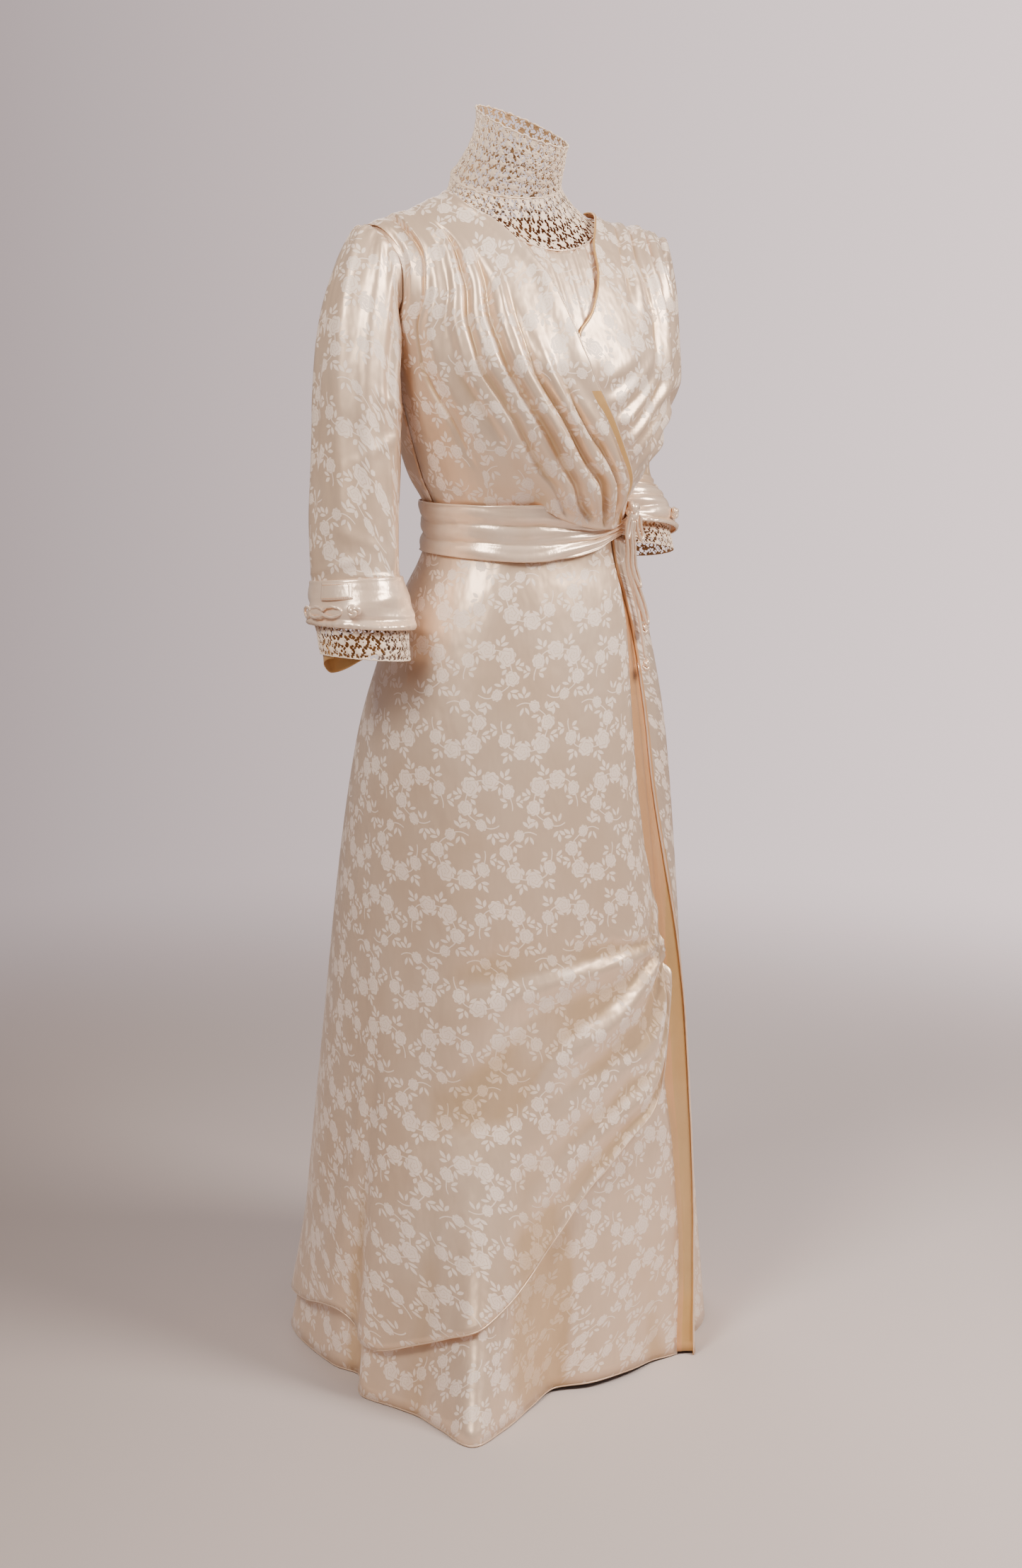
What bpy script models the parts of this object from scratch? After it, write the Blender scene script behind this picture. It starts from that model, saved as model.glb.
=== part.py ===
"""Tea gown of about 1910, worn form with no wearer: the cloth walls, lace, belt and ties at their real size.

Metres, +Z up, the front faces -Y and the wearer's right side is -X. The origin is on the shoulder line,
midway between the shoulders, where the wearer carries the gown. Heights in the tables are above the floor.
"""
import bmesh
import bpy
import numpy as np
from mathutils import Vector

# Driving sizes
SHOULDER_LINE = 1.345      # height of the origin above the floor
WAIST = 0.995              # height of the waist seam
ARMPIT = 1.200             # height where the body starts to round in to the shoulders
WALL = 0.0014              # silk damask with its lining, as one wall
LACE_WALL = 0.0012

# The general figure that the cut shapes: superellipse rings, a row for each height
TORSO_COLUMNS = ("height", "half_width", "front", "back", "centre")
TORSO = (
    (0.960, 0.120, 0.101, 0.086, -0.010),
    (0.995, 0.114, 0.097, 0.079, -0.010),
    (1.025, 0.117, 0.104, 0.081, -0.010),
    (1.060, 0.132, 0.125, 0.092, -0.009),
    (1.130, 0.152, 0.145, 0.106, -0.006),
    (1.180, 0.162, 0.146, 0.108, -0.002),
    (1.230, 0.176, 0.130, 0.108, 0.002),
    (1.290, 0.190, 0.108, 0.100, 0.005),
    (1.345, 0.200, 0.090, 0.090, 0.008),
    (1.400, 0.204, 0.085, 0.085, 0.010),
)
TORSO_POWER = 2.3          # superellipse power of a ring
SHOULDER_POWER = 2.5       # how squarely the front rounds in to the shoulder seam
BACK_POWER = 3.2           # and the back
# The shoulder seam from the right tip past the neck to the left tip, as (x, height); the left one hangs lower
SHOULDER_SEAM = ((-0.240, 1.318), (-0.196, 1.336), (-0.150, 1.345), (-0.100, 1.361), (-0.070, 1.370),
                 (0.0, 1.378), (0.070, 1.360), (0.100, 1.345), (0.130, 1.3375), (0.160, 1.3335),
                 (0.196, 1.328), (0.240, 1.318))

# The skirt's rings, which the underskirt follows and the overskirt lies on
SKIRT_COLUMNS = TORSO_COLUMNS
SKIRT = (
    (0.000, 0.240, 0.196, 0.262, 0.022),
    (0.150, 0.230, 0.188, 0.248, 0.020),
    (0.300, 0.219, 0.180, 0.234, 0.018),
    (0.450, 0.208, 0.170, 0.218, 0.015),
    (0.600, 0.196, 0.158, 0.198, 0.010),
    (0.750, 0.180, 0.142, 0.168, 0.003),
    (0.860, 0.157, 0.122, 0.130, -0.005),
    (0.920, 0.138, 0.107, 0.106, -0.010),
    (0.955, 0.124, 0.100, 0.090, -0.010),
    (0.995, 0.114, 0.097, 0.079, -0.010),
)
# Folds of the skirt round the hem, a row for each turn of the outline: angle from the front (+ to the left),
# how far it stands out of the ring at the floor, the height where that starts, and how fast it grows
FOLD_COLUMNS = ("angle", "out", "start", "growth")
FOLDS = (
    (-180, 0.030, 0.70, 1.2),
    (-160, 0.002, 0.70, 1.2),
    (-143, 0.020, 0.30, 1.2),
    (-128, 0.012, 0.13, 1.0),
    (-112, 0.020, 0.14, 1.0),
    (-100, 0.019, 0.16, 1.0),
    (-88, 0.018, 0.30, 1.0),
    (-79, 0.008, 0.60, 1.0),
    (-67, 0.050, 0.50, 1.5),
    (-58, 0.058, 0.45, 1.5),
    (-49, 0.073, 0.42, 1.6),
    (-41, 0.106, 0.42, 1.7),
    (-33.5, 0.146, 0.42, 1.8),
    (-28, 0.110, 0.42, 1.8),
    (-21, 0.060, 0.40, 1.8),
    (-13, 0.026, 0.35, 1.5),
    (-4, 0.036, 0.30, 1.5),
    (4, 0.028, 0.30, 1.4),
    (14, 0.016, 0.30, 1.2),
    (24, 0.022, 0.30, 1.2),
    (38, 0.006, 0.30, 1.2),
    (61, 0.008, 0.40, 1.2),
    (84, 0.014, 0.50, 1.2),
    (104, 0.004, 0.60, 1.2),
    (124, 0.026, 0.66, 1.2),
    (150, -0.004, 0.70, 1.2),
    (180, 0.030, 0.70, 1.2),
)


def rows_of(columns, table):
    """The table as {column name: array}."""
    return dict(zip(columns, np.array(table, float).T))


def along(columns, table, name, at):
    """A column of a table, read smoothly at other values of the first column: a cubic through the rows whose
    slopes never overshoot them."""
    rows = rows_of(columns, table)
    xs, ys = rows[columns[0]], rows[name]
    steps = np.diff(ys) / np.diff(xs)
    before, after = steps[:-1], steps[1:]
    same_way = before * after > 0
    middle = np.where(same_way, 2 * before * after / np.where(same_way, before + after, 1), 0)
    slopes = np.concatenate([steps[:1], middle, steps[-1:]])
    at = np.clip(at, xs[0], xs[-1])
    i = np.clip(np.searchsorted(xs, at) - 1, 0, len(xs) - 2)
    step = xs[i + 1] - xs[i]
    t = (at - xs[i]) / step
    return (ys[i] * (1 + 2 * t) * (1 - t) ** 2 + slopes[i] * step * t * (1 - t) ** 2
            + ys[i + 1] * t * t * (3 - 2 * t) + slopes[i + 1] * step * t * t * (t - 1))


def curve(points, at):
    """A smooth line through (position, value) pairs, read at `at`."""
    return along(("position", "value"), points, "value", at)


def ease(low, high, value):
    """0 below low, 1 above high, and a smooth S between."""
    t = np.clip((value - low) / (high - low), 0, 1)
    return t * t * (3 - 2 * t)


def bump(distance):
    """A rounded ridge, 1 at distance 0 and 0 beyond distance 1."""
    return np.where(np.abs(distance) < 1, 0.5 + 0.5 * np.cos(np.pi * np.clip(distance, -1, 1)), 0)


def power(value, exponent):
    """A signed power."""
    return np.sign(value) * np.abs(value) ** exponent


def apart(angle, centre):
    """Degrees from centre to angle, the short way round."""
    return (angle - centre + 180) % 360 - 180


def shoulder_height(x):
    """The height of the shoulder seam at x."""
    return curve(SHOULDER_SEAM, x)


def torso(angle, level):
    """A point of the figure: angle in degrees from the front, level 0 at the waist, 1 at the armpit, 2 on the
    shoulder seam. Above the armpit each ring closes towards the seam on a superellipse."""
    angle, level = np.broadcast_arrays(np.asarray(angle, float), np.asarray(level, float))
    sine, cosine = np.sin(np.radians(angle)), np.cos(np.radians(angle))
    turn = np.clip(level - 1, 0, 1) * np.pi / 2
    roundness = np.where(cosine > 0, SHOULDER_POWER, BACK_POWER)
    rise = np.sin(turn) ** (2 / roundness)
    close = np.maximum(np.cos(turn), 0) ** (2 / roundness)
    low = WAIST + (ARMPIT - WAIST) * np.minimum(level, 1)
    height = low + rise * 0.16
    for _ in range(4):
        x = along(TORSO_COLUMNS, TORSO, "half_width", height) * power(sine, 2 / TORSO_POWER)
        height = low + rise * (shoulder_height(x) - ARMPIT)
    front = along(TORSO_COLUMNS, TORSO, "front", height)
    back = along(TORSO_COLUMNS, TORSO, "back", height)
    depth = np.where(cosine > 0, front, back) * close
    y = along(TORSO_COLUMNS, TORSO, "centre", height) - depth * power(cosine, 2 / TORSO_POWER)
    return np.stack([x, y, height], -1)


def figure(angle, level, out=0.0):
    """A point at a distance out of the figure."""
    across = torso(np.asarray(angle) + 0.5, level) - torso(np.asarray(angle) - 0.5, level)
    down = torso(angle, np.asarray(level) - 0.005) - torso(angle, np.asarray(level) + 0.005)
    normal = np.cross(down, across)
    normal /= np.linalg.norm(normal, axis=-1, keepdims=True)
    return torso(angle, level) + normal * np.asarray(out)[..., None]


def level_of(height, x):
    """The torso level of a height on the front of the figure, x to the side."""
    rise = np.clip((height - ARMPIT) / (shoulder_height(x) - ARMPIT), 0, 1)
    turn = np.arcsin(rise ** (SHOULDER_POWER / 2))
    return np.where(height < ARMPIT, (height - WAIST) / (ARMPIT - WAIST), 1 + turn / (np.pi / 2))


def on_shoulders(x, y):
    """The point of the figure's chest, shoulders or upper back above a place in plan."""
    height = np.full(np.shape(x), 1.35)
    for _ in range(14):
        half, front, back, centre = (along(TORSO_COLUMNS, TORSO, name, height) for name in TORSO_COLUMNS[1:])
        away = y - centre
        depth = np.where(away < 0, front, back)
        roundness = np.where(away < 0, SHOULDER_POWER, BACK_POWER)
        ring = (1 - np.clip(np.abs(x) / half, 0, 0.98) ** TORSO_POWER) ** (1 / TORSO_POWER)
        close = np.clip(np.abs(away) / (depth * ring), 0, 1)
        found = ARMPIT + (1 - close ** roundness) ** (1 / roundness) * (shoulder_height(x) - ARMPIT)
        height = (height + found) / 2
    return np.stack([x, y, height], -1)


def skirt_folds(angle, height):
    """How far the skirt's folds stand out of its rings."""
    turn = apart(angle, 0)
    out, start, growth = (along(FOLD_COLUMNS, FOLDS, name, turn) for name in FOLD_COLUMNS[1:])
    return out * np.clip(1 - height / start, 0, 1) ** growth


def skirt(angle, height, out=0.0):
    """A point of the skirt at an angle from the front and a height, moved out level by out and the folds."""
    angle, height = np.broadcast_arrays(np.asarray(angle, float), np.asarray(height, float))
    sine, cosine = np.sin(np.radians(angle)), np.cos(np.radians(angle))
    out = out + skirt_folds(angle, height)
    width = along(SKIRT_COLUMNS, SKIRT, "half_width", height) + out
    front = along(SKIRT_COLUMNS, SKIRT, "front", height) + out
    back = along(SKIRT_COLUMNS, SKIRT, "back", height) + out
    depth = np.where(cosine > 0, front, back)
    x = width * power(sine, 2 / TORSO_POWER)
    y = along(SKIRT_COLUMNS, SKIRT, "centre", height) - depth * power(cosine, 2 / TORSO_POWER)
    return np.stack([x, y, height], -1)


def normals(points, closed=False):
    """Unit normals of a grid of points (rows, columns, xyz), by central differences."""
    if closed:
        across = np.roll(points, -1, 1) - np.roll(points, 1, 1)
    else:
        across = np.gradient(points, axis=1)
    down = np.gradient(points, axis=0)
    normal = np.cross(down, across)
    return normal / np.maximum(np.linalg.norm(normal, axis=-1, keepdims=True), 1e-12)


def material(name, colour, roughness):
    made = bpy.data.materials.new(name)
    made.use_nodes = True
    shader = made.node_tree.nodes["Principled BSDF"]
    shader.inputs["Base Color"].default_value = (*colour, 1)
    shader.inputs["Roughness"].default_value = roughness
    made.diffuse_color = (*colour, 1)
    return made


def keep(name, mesh, finish):
    """A named object of the gown, with its material, in the gown's collection."""
    made = bpy.data.objects.new(name, mesh)
    mesh.materials.append(finish)
    GOWN.objects.link(made)
    return made


def wall(name, points, finish, thickness=WALL, closed=False, holes=None):
    """A cloth wall. The grid of points (rows, columns, xyz) in heights above the floor is its inner face, and
    Solidify moves the outer face out. closed joins the last column to the first; holes leaves out cells."""
    rows, columns = points.shape[:2]
    index = np.arange(rows * columns).reshape(rows, columns)
    right = np.roll(index, -1, 1) if closed else index[:, 1:]
    left = index if closed else index[:, :-1]
    cells = np.stack([left[:-1], left[1:], right[1:], right[:-1]], -1)
    if holes is not None:
        cells = cells[~holes]
    placed = points.reshape(-1, 3) - (0, 0, SHOULDER_LINE)
    mesh = bpy.data.meshes.new(name)
    mesh.from_pydata(placed.tolist(), [], cells.reshape(-1, 4).tolist())
    made = bmesh.new()
    made.from_mesh(mesh)
    loose = [v for v in made.verts if not v.link_faces]
    bmesh.ops.delete(made, geom=loose, context="VERTS")
    made.to_mesh(mesh)
    made.free()
    mesh.shade_smooth()
    cloth = keep(name, mesh, finish)
    thick = cloth.modifiers.new("thickness", "SOLIDIFY")
    thick.thickness = thickness
    thick.offset = 1
    return cloth


def tube(name, route, radius, finish, sides=2):
    """A corded tie along a smooth route, a POLY curve with filled caps."""
    route = np.asarray(route, float) - (0, 0, SHOULDER_LINE)
    line = bpy.data.curves.new(name, "CURVE")
    line.dimensions = "3D"
    line.bevel_depth = radius
    line.bevel_resolution = sides
    line.use_fill_caps = True
    spline = line.splines.new("POLY")
    spline.points.add(len(route) - 1)
    spline.points.foreach_set("co", np.column_stack([route, np.ones(len(route))]).ravel())
    made = bpy.data.objects.new(name, line)
    line.materials.append(finish)
    GOWN.objects.link(made)
    return made


def smooth_route(points, count):
    """count points evenly along a Catmull-Rom curve through the route's own points."""
    points = np.asarray(points, float)
    ends = np.vstack([2 * points[0] - points[1], points, 2 * points[-1] - points[-2]])
    t = np.linspace(0, len(points) - 1, 40 * len(points))
    i = np.minimum(t.astype(int), len(points) - 2)
    f = (t - i)[:, None]
    a, b, c, d = (ends[i + k] for k in range(4))
    square, cube = 2 * a - 5 * b + 4 * c - d, 3 * b - a - 3 * c + d
    fine = 0.5 * (2 * b + (c - a) * f + square * f ** 2 + cube * f ** 3)
    length = np.concatenate([[0], np.cumsum(np.linalg.norm(np.diff(fine, axis=0), axis=1))])
    at = np.linspace(0, length[-1], count)
    return np.stack([np.interp(at, length, fine[:, k]) for k in range(3)], -1)


def lump(name, centre, size, finish, petals=0):
    """A knotted lump of cord: a ball of the given size, its waist pinched into petals."""
    made = bmesh.new()
    bmesh.ops.create_uvsphere(made, u_segments=10, v_segments=6, radius=0.5)
    for v in made.verts:
        swell = 1 + 0.18 * np.cos(petals * np.arctan2(v.co.y, v.co.x)) if petals else 1
        v.co = Vector((v.co.x * size[0] * swell, v.co.y * size[1] * swell, v.co.z * size[2]))
        v.co += Vector(centre) - Vector((0, 0, SHOULDER_LINE))
    mesh = bpy.data.meshes.new(name)
    made.to_mesh(mesh)
    made.free()
    mesh.shade_smooth()
    return keep(name, mesh, finish)


def grid(rows, columns):
    """Row and column numbers as two arrays that broadcast to a grid."""
    return np.asarray(rows, float)[:, None], np.asarray(columns, float)[None, :]


# Bodice. Each front is one panel between its armhole and side seam and its own front edge, which crosses the
# chest; the tables give the two edges as (torso level, angle from the front).
ARMHOLE_EDGE = ((0.0, 90), (0.9, 90), (1.08, 82), (1.25, 69), (1.5, 63), (1.75, 67), (2.0, 75))
OVER_EDGE = ((0.0, 34), (0.12, 31), (0.32, 22), (0.50, 12), (0.73, 2), (0.90, -2.5), (1.02, -5), (1.23, -9),
             (1.36, -13.5), (1.55, -20), (1.74, -26), (2.0, -27))
UNDER_EDGE = ((0.0, -34), (0.30, -26), (0.60, -16), (0.85, -9), (1.02, -3), (1.12, 4), (1.28, 9.5),
              (1.40, 11), (1.56, 15), (1.76, 19.5), (2.0, 23))
FRONT_ROWS = (1.9995, 1.93, 1.79, 1.56, 1.33, 1.12, 0.95, 0.79, 0.62, 0.46, 0.31, 0.18, 0.06)
OVER_COLUMNS = 26
UNDER_COLUMNS = 18
BACK_COLUMNS = 18
# The back's top edge round the neck: degrees from the middle of the back, and torso level
BACK_NECK = ((0, 1.55), (8.3, 1.58), (16.7, 1.68), (25, 1.87), (31, 1.9999), (90, 1.9999))
BACK_HALF_ANGLE = 75       # degrees from the middle of the back to its end on the shoulder seam
INSET_FOOT = 0.62          # torso level of the foot of the satin panel between the fronts
SEAM_ANGLE = 0.30          # degrees from a seam of the bodice to each panel's edge
SEAM_OUT = 0.004           # how far out of the figure the panels meet at the armholes and side seams
SEAM_SHARE = 0.10          # share of a panel over which it rises from the seam
TUCKED_OUT = 0.0035        # how far out the right front's foot lies inside the belt
SHOULDER_OUT = 0.0070      # about how far out the back meets the fronts' gathers on the shoulder seam
# Pleats of the fronts, along the panel: share of the way from armhole to front edge, half width as a share,
# how far the pleat stands out, and the torso levels between which it shows
PLEAT_COLUMNS = ("share", "spread", "out", "low", "high")
OVER_PLEATS = (
    (0.36, 0.06, 0.0040, 0.40, 2.1),
    (0.49, 0.07, 0.0065, 0.15, 2.1),
    (0.61, 0.06, 0.0060, 0.10, 1.80),
    (0.73, 0.06, 0.0100, 0.05, 1.50),
    (0.83, 0.05, 0.0080, 0.02, 1.15),
    (0.915, 0.05, 0.0060, 0.02, 0.90),
)
UNDER_PLEATS = (
    (0.30, 0.08, 0.0040, 1.00, 2.1),
    (0.52, 0.08, 0.0070, 0.55, 2.1),
    (0.70, 0.08, 0.0060, 0.30, 1.9),
    (0.85, 0.08, 0.0050, 0.20, 1.6),
)
TUCK_SHARE = 0.25          # the deep outer tuck of the right front, beside the armhole
# How the right front's pleats crowd towards its front edge: power of the share at each torso level
CROWD = ((0.0, 0.60), (0.35, 0.74), (0.63, 0.85), (1.0, 1.10), (1.2, 1.18), (1.5, 1.0), (1.88, 0.80),
         (2.0, 0.78))
# The belt's edges by angle: it dips under the pouch and narrows at the knot
BELT_TOP = ((-180, 1.030), (-20, 1.030), (-10, 1.024), (0, 1.014), (12, 1.005), (24, 1.003), (33, 1.008),
            (50, 1.018), (80, 1.026), (120, 1.030), (180, 1.030))
BELT_OUT = 0.0074          # how far the belt's inner face is out of the figure
BELT_FOOT = ((-180, 0.973), (-90, 0.972), (-18, 0.966), (10, 0.976), (29, 0.989), (37, 0.991), (60, 0.978),
             (180, 0.973))
# The foot of the right front by angle: inside the belt at the side, over its top, then hanging outside it
OVER_FOOT = ((-90, 1.006), (-36, 1.006), (-25, 1.040), (-13, 1.042), (-2, 1.022), (10, 1.008), (22, 1.003),
             (34, 1.006))


def pleats(table, share, level):
    """How far a front's pleats stand out."""
    rows = rows_of(PLEAT_COLUMNS, table)
    out = 0
    for at, spread, reach, low, high in zip(*(rows[name] for name in PLEAT_COLUMNS)):
        shown = ease(low, low + 0.25, level) * (1 - ease(high - 0.35, high, level))
        out = out + reach * shown * bump((share - at) / spread)
    return out


def over_front(finish):
    """The right front: a tuck beside the armhole, pleats from the shoulder that run to the left waist, and a
    pouch of cloth that hangs over the belt towards the knot."""
    level, share = grid(FRONT_ROWS, np.linspace(0, 1, OVER_COLUMNS + 1))
    left, right = SEAM_ANGLE - curve(ARMHOLE_EDGE, level), curve(OVER_EDGE, level)
    angle = left + (right - left) * share ** curve(CROWD, level)
    foot = (curve(OVER_FOOT, angle) - WAIST) / (ARMPIT - WAIST)
    level = level + ease(0.42, FRONT_ROWS[-1], level) * (foot - FRONT_ROWS[-1])
    pouch = ease(-26, -9, angle)
    tucked = (1 - pouch) * (1 - ease(0.21, 0.52, level))
    standing = 0.0070 + 0.0065 * ease(TUCK_SHARE - 0.03, TUCK_SHARE + 0.03, share) * ease(0.45, 1.0, level)
    standing = standing + 0.0045 * ease(0.45, 0.8, share) + pleats(OVER_PLEATS, share, level)
    standing = standing + 0.010 * pouch * bump((level - 0.20) / 0.45) * (1 - ease(14, 30, angle))
    standing = standing - (standing - SHOULDER_OUT) * 0.5 * ease(1.93, 2, level)
    out = standing * (1 - tucked) + TUCKED_OUT * tucked
    out = SEAM_OUT + (out - SEAM_OUT) * ease(0, SEAM_SHARE, share)
    wall("bodice_front_right", figure(angle, level, out), finish)


def under_front(finish):
    """The left front, which lies under the right one: pleats from the shoulder, its foot inside the belt."""
    level, share = grid(FRONT_ROWS, np.linspace(0, 1, UNDER_COLUMNS + 1))
    left, right = curve(UNDER_EDGE, level), curve(ARMHOLE_EDGE, level) - SEAM_ANGLE
    angle = left + (right - left) * share
    hidden = 1 - ease(0, 9, apart(angle, curve(OVER_EDGE, level)))
    tucked = 1 - ease(0.20, 0.55, level)
    standing = 0.0058 + (pleats(UNDER_PLEATS, share, level) + 0.0022) * (1 - hidden)
    out = standing * (1 - tucked) + 0.0016 * tucked
    rim = np.minimum(out, SEAM_OUT)
    out = rim + (out - rim) * ease(1, 1 - SEAM_SHARE, share)
    wall("bodice_front_left", figure(angle, level, out), finish)


def bodice_back(finish):
    """The back, from side seam to side seam, cut down round the neck."""
    level, share = grid(FRONT_ROWS, np.linspace(0, 1, BACK_COLUMNS + 1))
    top = curve(BACK_NECK, BACK_HALF_ANGLE * np.abs(2 * share - 1))
    level = np.where(level > 1, 1 + (level - 1) * (top - 1) / (FRONT_ROWS[0] - 1), level)
    edge = 180 - curve(ARMHOLE_EDGE, level) + SEAM_ANGLE
    angle = edge + (360 - 2 * edge) * share
    out = SEAM_OUT + 0.003 * ease(0.17, 0.40, level) * ease(0, SEAM_SHARE, np.minimum(share, 1 - share))
    wall("bodice_back", figure(angle, level, out), finish)


def neckline(angle, beyond=0.0):
    """The lower edge of the lace yoke on the figure, by its angle round the neck from the front; beyond moves
    it further from the neck."""
    sine, cosine = np.sin(np.radians(angle)), np.cos(np.radians(angle))
    reach = np.where(cosine > 0, 0.089, 0.0605) + beyond
    narrower = 1 - 0.08 * np.maximum(-cosine, 0)
    return on_shoulders((0.094 + beyond) * sine * narrower, 0.008 - reach * cosine)


def inset_front(finish):
    """The satin panel that shows in the V between the fronts, under the lace yoke's edge."""
    t, turn = grid(np.linspace(0, 1, 7), np.linspace(-52, 52, 11))
    edge = neckline(turn[0])
    top = level_of(edge[:, 2] + 0.001, edge[:, 0])
    half = along(TORSO_COLUMNS, TORSO, "half_width", edge[:, 2])
    angle = np.degrees(np.arcsin(power(edge[:, 0] / half, TORSO_POWER / 2)))
    level = top + (INSET_FOOT - top) * t
    wall("inset_front", figure(angle * (1 - 0.35 * t), level, 0.0026 + 0 * level), finish)


# Lace. The collar band and the yoke are walls with their largest gaps cut through; each tube is two halves.
# Rings round the neck: centre, half sizes in x and y, rise to the back, and drop to the wearer's left
NECK_BASE = ((-0.007, 0.019, 1.395), (0.0667, 0.0520), 0.0224, -0.0030)
NECK_TOP = ((0.0, -0.004, 1.454), (0.0507, 0.0560), 0.0228, 0.0110)
FLARE_ANGLE = -122         # the side of the neck on which the collar flares out most into the shoulders
SEAM_DEGREES = 0.35        # from each side of a lace tube to the seam between its halves
LACE_PAIRS = 9             # gaps along one half of the collar, and of the yoke
COLLAR_GAP_ROWS = 4
YOKE_GAP_ROWS = 2
CUFF_PAIRS = 8
CUFF_GAP_ROWS = 2
GAP_SHARE = 0.46           # share of a repeat that the gap takes


def lace_steps(pairs):
    """Positions from 0 to 1 of solid and open stretches in turn, starting and ending solid."""
    widths = np.tile([1 - GAP_SHARE, GAP_SHARE], pairs + 1)[:-1]
    return np.concatenate([[0], np.cumsum(widths)]) / widths.sum()


def lace_gaps(points):
    """Which cells of a grid of points are gaps: every second cell, in every second row."""
    holes = np.zeros((points.shape[0] - 1, points.shape[1] - 1), bool)
    holes[1::2, 1::2] = True
    return holes


def neck_ring(ring, angle):
    """A ring round the neck: an ellipse that rises towards the back."""
    (x, y, height), (half_x, half_y), rise, drop = ring
    sine, cosine = np.sin(np.radians(angle)), np.cos(np.radians(angle))
    return np.stack([x + half_x * sine, y - half_y * cosine, height - rise * cosine - drop * sine], -1)


def wander(points, amount):
    """Shifts the inner points of a grid a little, so that the gaps of the lace are uneven."""
    i, j = np.indices(points.shape[:2])
    shift = np.zeros(points.shape)
    shift[..., 2] = np.sin(2.1 * i + 1.3 * j) * amount
    shift[..., 0] = np.sin(1.7 * i + 2.9 * j) * amount * 0.6
    shift[[0, -1]] = 0
    shift[:, [0, -1]] = 0
    return points + shift


def lace_collar(finish):
    """The standing band, from the neck seam to its wired top edge, cut in a front and a back half."""
    for half, centre in (("front", 0), ("back", 180)):
        t, share = grid(1 - lace_steps(COLLAR_GAP_ROWS), lace_steps(LACE_PAIRS))
        angle = centre - 90 + SEAM_DEGREES + (180 - 2 * SEAM_DEGREES) * share
        low, high = neck_ring(NECK_BASE, angle), neck_ring(NECK_TOP, angle)
        flare = 0.6 * t * (1 - t) * (1 + np.cos(np.radians(angle - FLARE_ANGLE)))
        points = low + (high - low) * (t[..., None] + flare[..., None] * (1, 1, 0))
        wall("collar_lace_" + half, wander(points, 0.0008), finish, LACE_WALL, holes=lace_gaps(points))


def lace_yoke(finish):
    """The round yoke, from the neck seam down to the figure, where its edge lies under the bodice."""
    for half, centre in (("front", 0), ("back", 180)):
        t, share = grid(lace_steps(YOKE_GAP_ROWS), lace_steps(LACE_PAIRS))
        angle = centre - 90 + SEAM_DEGREES + (180 - 2 * SEAM_DEGREES) * share
        top = neck_ring(NECK_BASE, angle) - (0, 0, 0.0015)
        foot = neckline(angle, 0.006)
        bend = top + (foot - top) * (0.30, 0.30, 0.62)
        t = t[..., None]
        points = top * (1 - t) ** 2 + bend * 2 * t * (1 - t) + foot * t * t
        wall("yoke_lace_" + half, wander(points, 0.0006), finish, LACE_WALL, holes=lace_gaps(points))


# Sleeves: rings from the armhole to the forearm. x is outward from the body's middle and y to the back; a
# ring falls by slope for each metre to its front, and by lean for each metre outward
ARM_COLUMNS = ("height", "x", "y", "half_x", "half_y", "slope", "lean")
RIGHT_ARM = (
    (1.150, 0.2170, -0.004, 0.0465, 0.054, 0.00, 0.00),
    (1.110, 0.2190, -0.005, 0.0465, 0.054, -0.02, 0.00),
    (1.064, 0.2220, -0.007, 0.0475, 0.055, -0.04, 0.00),
    (1.020, 0.2260, -0.009, 0.0480, 0.055, -0.06, 0.00),
    (0.980, 0.2280, -0.012, 0.0480, 0.054, -0.08, 0.00),
    (0.940, 0.2290, -0.018, 0.0475, 0.053, -0.10, 0.00),
)
LEFT_ARM = (
    (1.160, 0.2120, 0.051, 0.0410, 0.048, -0.05, 0.00),
    (1.122, 0.2060, 0.070, 0.0430, 0.049, -0.06, 0.00),
    (1.086, 0.2030, 0.088, 0.0435, 0.050, -0.08, 0.02),
    (1.058, 0.2000, 0.103, 0.0440, 0.050, -0.12, 0.05),
    (1.036, 0.1960, 0.092, 0.0455, 0.051, -0.16, 0.10),
    (1.019, 0.1920, 0.077, 0.0475, 0.053, -0.20, 0.15),
)
SLEEVE_COLUMNS = 18
SLEEVE_HEAD = 0.008        # how far the sleeve stands straight out of its seam at the shoulder
SLEEVE_OUT = 0.003         # how far out of the figure its seam lies
SLEEVE_GAP = 0.0055        # and how far inside the panels' edges
CAP_ROWS = (0.0, 0.14, 0.33, 0.55, 0.78)
SIDES = {"right": -1, "left": 1}


def arm_ring(side, angle, x, y, height, half_x, half_y, slope, lean):
    """A ring round the arm: angle 0 outward, 90 to the front."""
    across, fore = half_x * np.cos(np.radians(angle)), half_y * np.sin(np.radians(angle))
    return np.stack([side * (x + across), y - fore, height - slope * fore - lean * across], -1)


def armhole(side, angle):
    """The sleeve's edge in the armhole, a small gap from the panels: angle 0 at the shoulder tip, 90 at the
    front and 180 under the arm."""
    level = 1.04 + 0.935 * (0.5 + 0.5 * np.cos(np.radians(angle)))
    to_front = np.sign(np.round(np.sin(np.radians(angle)), 6))
    turn = side * (90 - (90 - curve(ARMHOLE_EDGE, level)) * to_front)
    base, out = torso(turn, level), figure(turn, level, np.full(level.shape, SLEEVE_OUT))
    normal = (out - base) / SLEEVE_OUT
    inward = np.array([side * 0.200, 0.005, 1.25]) - base
    inward -= normal * (inward * normal).sum(-1, keepdims=True)
    inward /= np.linalg.norm(inward, axis=-1, keepdims=True)
    return out + inward * SLEEVE_GAP


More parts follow.
